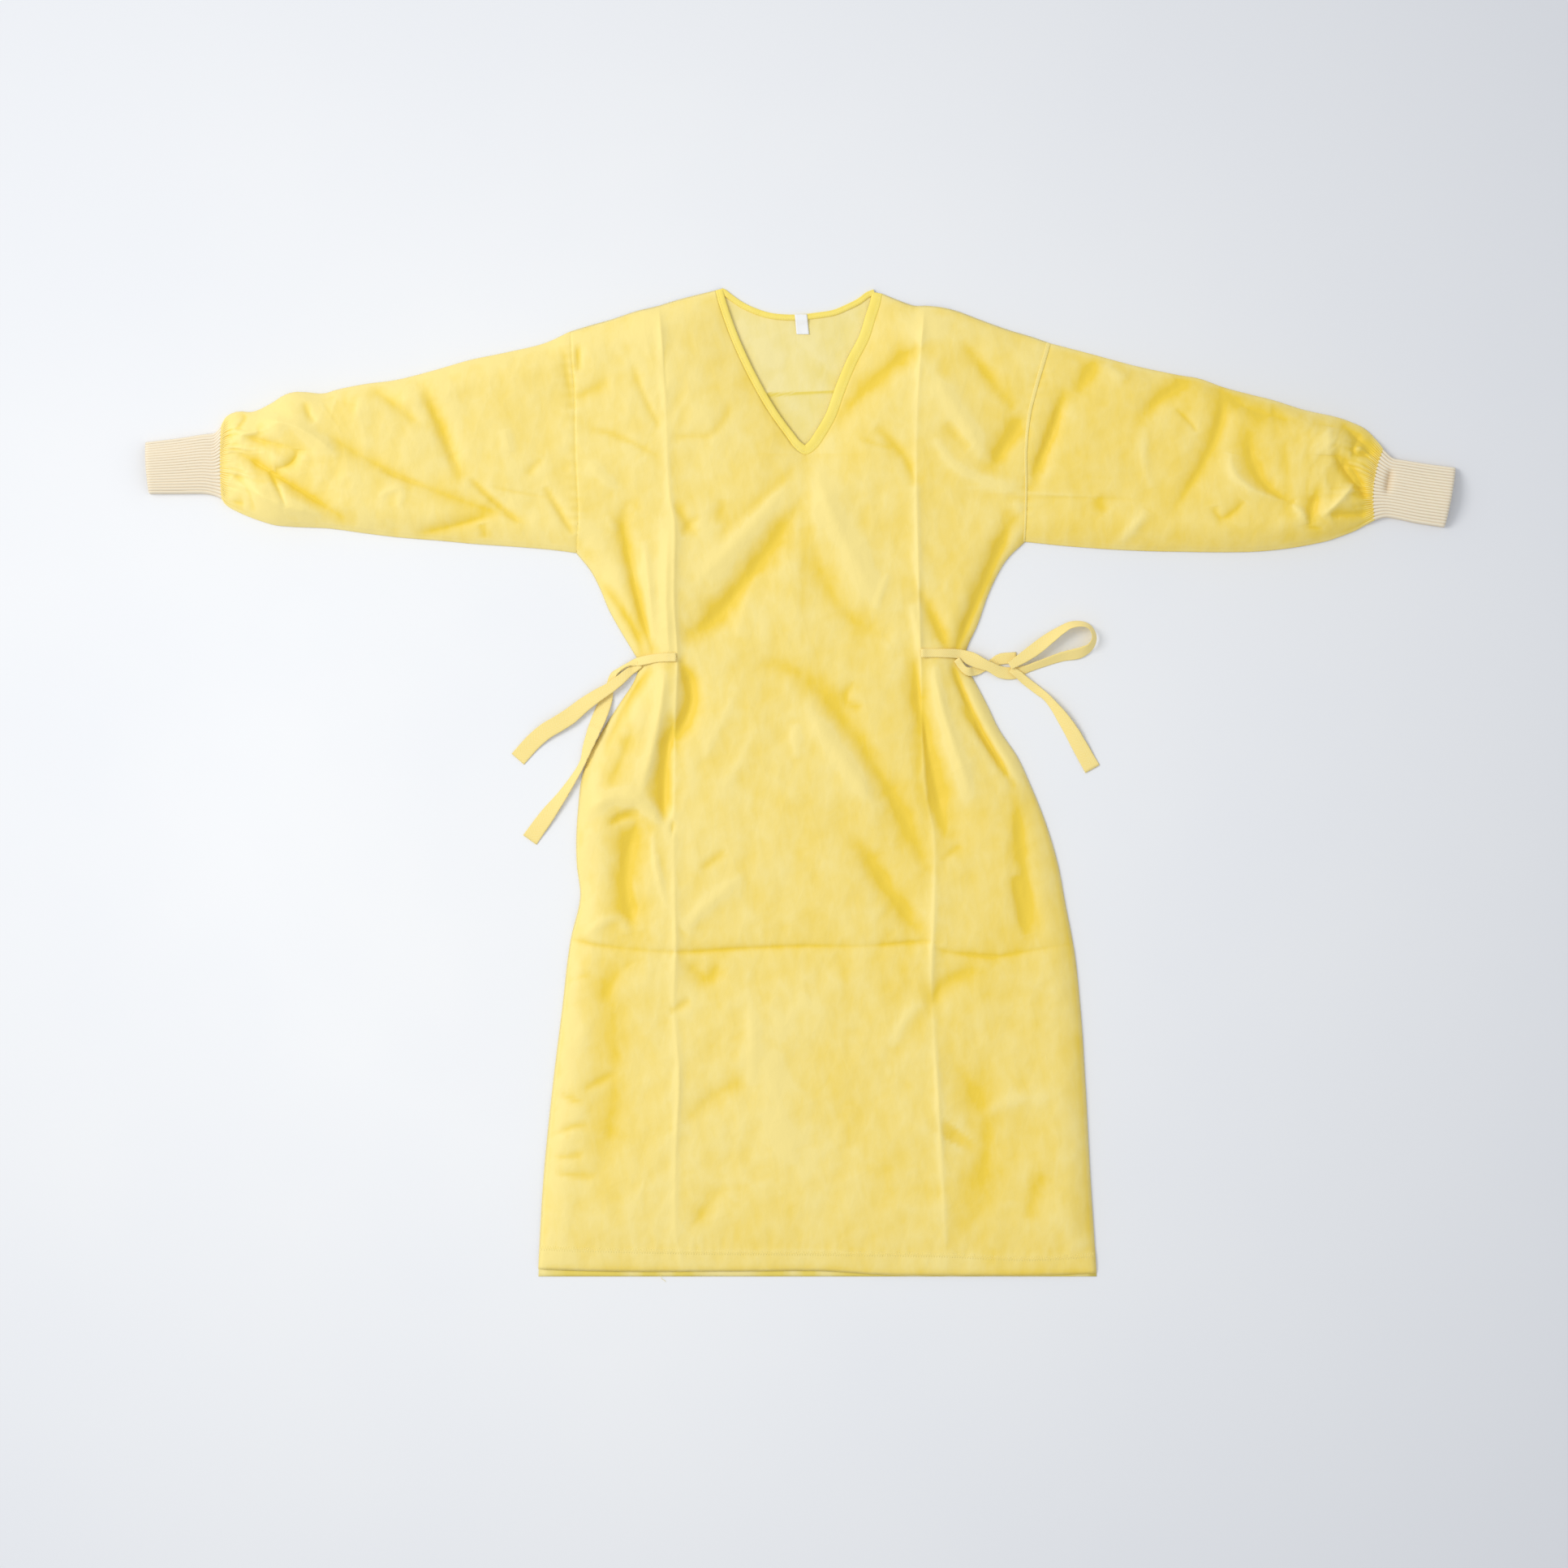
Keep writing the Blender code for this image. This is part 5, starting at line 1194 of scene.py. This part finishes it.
for share in np.linspace(0, 1, LABEL_ROWS):
    y = BACK_NECK[6].y - LABEL_LENGTH * share
    z = 3.6 * MM - 1.7 * MM * np.clip(share * 4 - 1.2, 0, 1) ** 0.8 + 0.4 * MM * np.clip(share - 0.7, 0, 1)
    over = np.linspace(0, 1, LABEL_COLUMNS)
    x = LABEL_LEFT + LABEL_LEAN * share + LABEL_WIDTH * over
    curl = LABEL_CURL * (2 * over - 1) ** 2 * share
    label_rows.append(np.column_stack((x, np.full(LABEL_COLUMNS, y), z + curl)))
label_hollow = np.zeros((LABEL_ROWS, LABEL_COLUMNS))
label = cloth_piece("label_ribbon", [(np.array(label_rows), label_hollow)], label_satin, 0.3 * MM)
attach(label, "root")
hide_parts("neck_label")


# The ties are strips of woven tape with a herringbone weave, sewn to the panels at the waist. The left pair
# lies loose, and the right pair is tied in a half bow with one loop and one tail. All are one width of tape,
# which lies open at its free ends and is folded lengthwise on itself wherever it looks narrower.
def tie_table(*rows):
    """A tie's rows. The turn stays a plain share of a quarter turn."""
    row_type = namedtuple("Row", "x y z width turn")
    return [row_type(x * MM, y * MM, z * MM, width * MM, turn) for x, y, z, width, turn in rows]


TIE_LEFT_FRONT = tie_table(
    (-144, 146, 9, 10, 0), (-167, 145, 9, 10, 0), (-189, 141, 6, 10, 0.15), (-201, 138, 5, 5, 0.5),
    (-211, 132, 3, 5, 0.4), (-218, 125, 2, 8, 0.2), (-222, 112, 1.5, 9, 0.1), (-225, 98, 2, 13, 0.1),
    (-231, 84, 3, 17, 0.2), (-238, 67, 3, 18, 0.3), (-247, 43, 3, 13.5, 0.3), (-255, 21, 3, 8.5, 0.4),
    (-275, -11, 2.5, 12, 0.25), (-295, -38, 2, 17.5, 0.1), (-315, -66, 1, 19, 0),
)
TIE_LEFT_BACK = tie_table(
    (-186, 138.5, 1, 9, 0), (-199, 129.5, 4, 10, 0.05), (-211, 119, 6.5, 12, 0.1), (-223, 110, 7, 13, 0.1),
    (-236, 102, 6.5, 15, 0.1), (-252, 91, 5, 17, 0.1), (-268, 78, 5, 19, 0.05), (-282, 69, 5, 19, 0),
    (-297, 60, 4, 19, 0), (-312, 47, 2, 19, 0), (-329, 28, 1, 19, 0),
)
TIE_RIGHT_FRONT = tie_table(
    (139, 151, 9, 10, 0), (162, 151, 9, 10, 0), (184, 150, 8, 11, 0), (198, 144.5, 8, 16, 0.1),
    (210, 139, 8, 14, 0.2), (220, 135, 7, 12, 0.2), (233, 129, 4, 14, 0.1), (248, 128, 2, 14, 0.1),
    (262, 132.5, 2, 10, 0.3), (283, 140, 3, 11, 0.4), (304, 147, 4, 13, 0.4), (323, 151, 6, 15, 0.4),
    (336, 158, 8, 14, 0.6), (341, 169, 9, 13, 0.7), (337, 180, 9, 13, 0.75), (328, 185, 9, 13, 0.7),
    (314, 184, 9, 13, 0.6), (301, 177, 9, 14, 0.5), (287, 167, 9, 15, 0.3), (273, 156, 9, 15, 0.1),
    (258, 145.5, 8.5, 13, 0), (243, 136, 8.5, 9, 0),
)
TIE_RIGHT_BACK = tie_table(
    (181, 144, 5.5, 8, 0), (189, 133, 5, 8, 0.1), (196, 129.5, 5.5, 10, 0.1), (204, 131, 3, 11, 0.1),
    (211, 134, 1.5, 10, 0), (221, 139, 1.2, 9, 0), (233, 144.5, 1.2, 13, 0), (251, 146, 1.2, 13, 0),
)
TIE_RIGHT_TAIL = tie_table(
    (244, 132.5, 5.2, 8, 0), (251, 128, 5, 9, 0), (262, 118.5, 3, 10, 0.2), (275, 108.5, 2, 10, 0.2),
    (285.5, 100, 3, 10, 0.4), (295, 89, 3, 12, 0.4), (304.5, 76, 3, 15, 0.3), (315.5, 59, 3, 17, 0.2),
    (325, 42, 2, 18, 0.1), (339.5, 16.5, 1, 19, 0),
)
TAPE_WIDTH = 19 * MM
TAPE_THICKNESS = 0.45 * MM
TAPE_LAYER = 0.55 * MM
TAPE_CLEARANCE = 0.6 * MM
TAPE_REACH = 3 * MM
TAPE_COLUMNS = 23

tie_tape, shader, pen, place = new_finish(
    "tie_tape", Roughness=0.75, Specular_IOR_Level=0.25, Sheen_Weight=0.2
)
weave_place = pen.node("ShaderNodeAttribute", {"attribute_name": "weave"}, out=1)
lengthwise, crosswise, _ = pen.apart(weave_place)
chevron = (lengthwise + crosswise.curve("ABSOLUTE") * 0.9) * 2600
twill = chevron.curve("SINE") * 0.5 + 0.5
lint = pen.clouds(place, 0.0012, detail=3)
connect(
    pen, shader,
    Base_Color=pen.mix((twill * 0.35 + lint * 0.55).clamp(0.1, 0.85), (0.95, 0.71, 0.2), (0.99, 0.84, 0.38)),
    Normal=pen.bump(twill + lint * 0.6, 0.00012),
)
front_surface = BVHTree.FromObject(front_cloth, bpy.context.evaluated_depsgraph_get())


def tie(name, node, rows, steps):
    """A tie of flat tape, which lies on the front where it crosses it and turns about its middle line."""
    stations = smooth_path(rows, ("x", "y", "z", "width", "turn"), steps)
    run = np.gradient(stations[:, :2], axis=0)
    run /= np.linalg.norm(run, axis=1)[:, None]
    walked = np.concatenate(([0], np.cumsum(np.linalg.norm(np.diff(stations[:, :3], axis=0), axis=1))))
    middles = []
    for number, ((x, y, z, width, turn), (dx, dy)) in enumerate(zip(stations, run)):
        angle = np.radians(90 * turn)
        reach = np.linspace(-0.5, 0.5, 5)[:, None] * width * np.array([-dy, dx]) + np.array([x, y])
        ground = 0
        for part in (-1, 0, 1) if number else (0, 1):
            for spot in reach + np.array([dx, dy]) * TAPE_REACH * part:
                hit = front_surface.ray_cast(Vector((*spot, SKY)), Vector((0, 0, -1)))[0]
                ground = max(ground, hit.z + TAPE_CLEARANCE) if hit else ground
        stack = TAPE_LAYER * (TAPE_WIDTH / width - 1) + TAPE_THICKNESS / 2
        middles.append(max(z, ground + width / 2 * np.sin(angle) + stack * np.cos(angle)))
    over_tape = np.linspace(0, TAPE_WIDTH, TAPE_COLUMNS)
    grid = []
    for (x, y, z, width, turn), (dx, dy), middle in zip(stations, run, middles):
        angle = np.radians(90 * turn)
        across = np.array([-dy * np.cos(angle), dx * np.cos(angle), np.sin(angle)])
        through = np.array([dy * np.sin(angle), -dx * np.sin(angle), np.cos(angle)])
        folds = over_tape / width
        there_and_back = 1 - np.abs(folds % 2 - 1)
        down = np.floor(folds) + np.clip((folds % 1 - 0.9) / 0.1, 0, 1) * (folds >= 0.9)
        section = (there_and_back[:, None] - 0.5) * width * across
        section = section - np.maximum(down, 0)[:, None] * TAPE_LAYER * through
        grid.append(np.array([x, y, middle]) + section)
    grid = np.array(grid)
    piece = cloth_piece(name, [(grid, np.zeros(grid.shape[:2]))], tie_tape)
    weave = np.zeros((*grid.shape[:2], 3))
    weave[:, :, 0] = walked[:, None]
    weave[:, :, 1] = over_tape - TAPE_WIDTH / 2
    piece.data.attributes.new("weave", "FLOAT_VECTOR", "POINT").data.foreach_set("vector", weave.ravel())
    wall = piece.modifiers.new("wall", "SOLIDIFY")
    wall.thickness = TAPE_THICKNESS
    wall.offset = 0
    settle(piece)
    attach(piece, "root")
    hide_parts(node)


tie("left_front_tape", "tie_left_front", TIE_LEFT_FRONT, 120)
tie("left_back_tape", "tie_left_back", TIE_LEFT_BACK, 70)
tie("right_front_tape", "tie_right_front", TIE_RIGHT_FRONT, 180)
tie("right_back_tape", "tie_right_back", TIE_RIGHT_BACK, 50)
tie("right_tail_tape", "tie_right_tail", TIE_RIGHT_TAIL, 80)
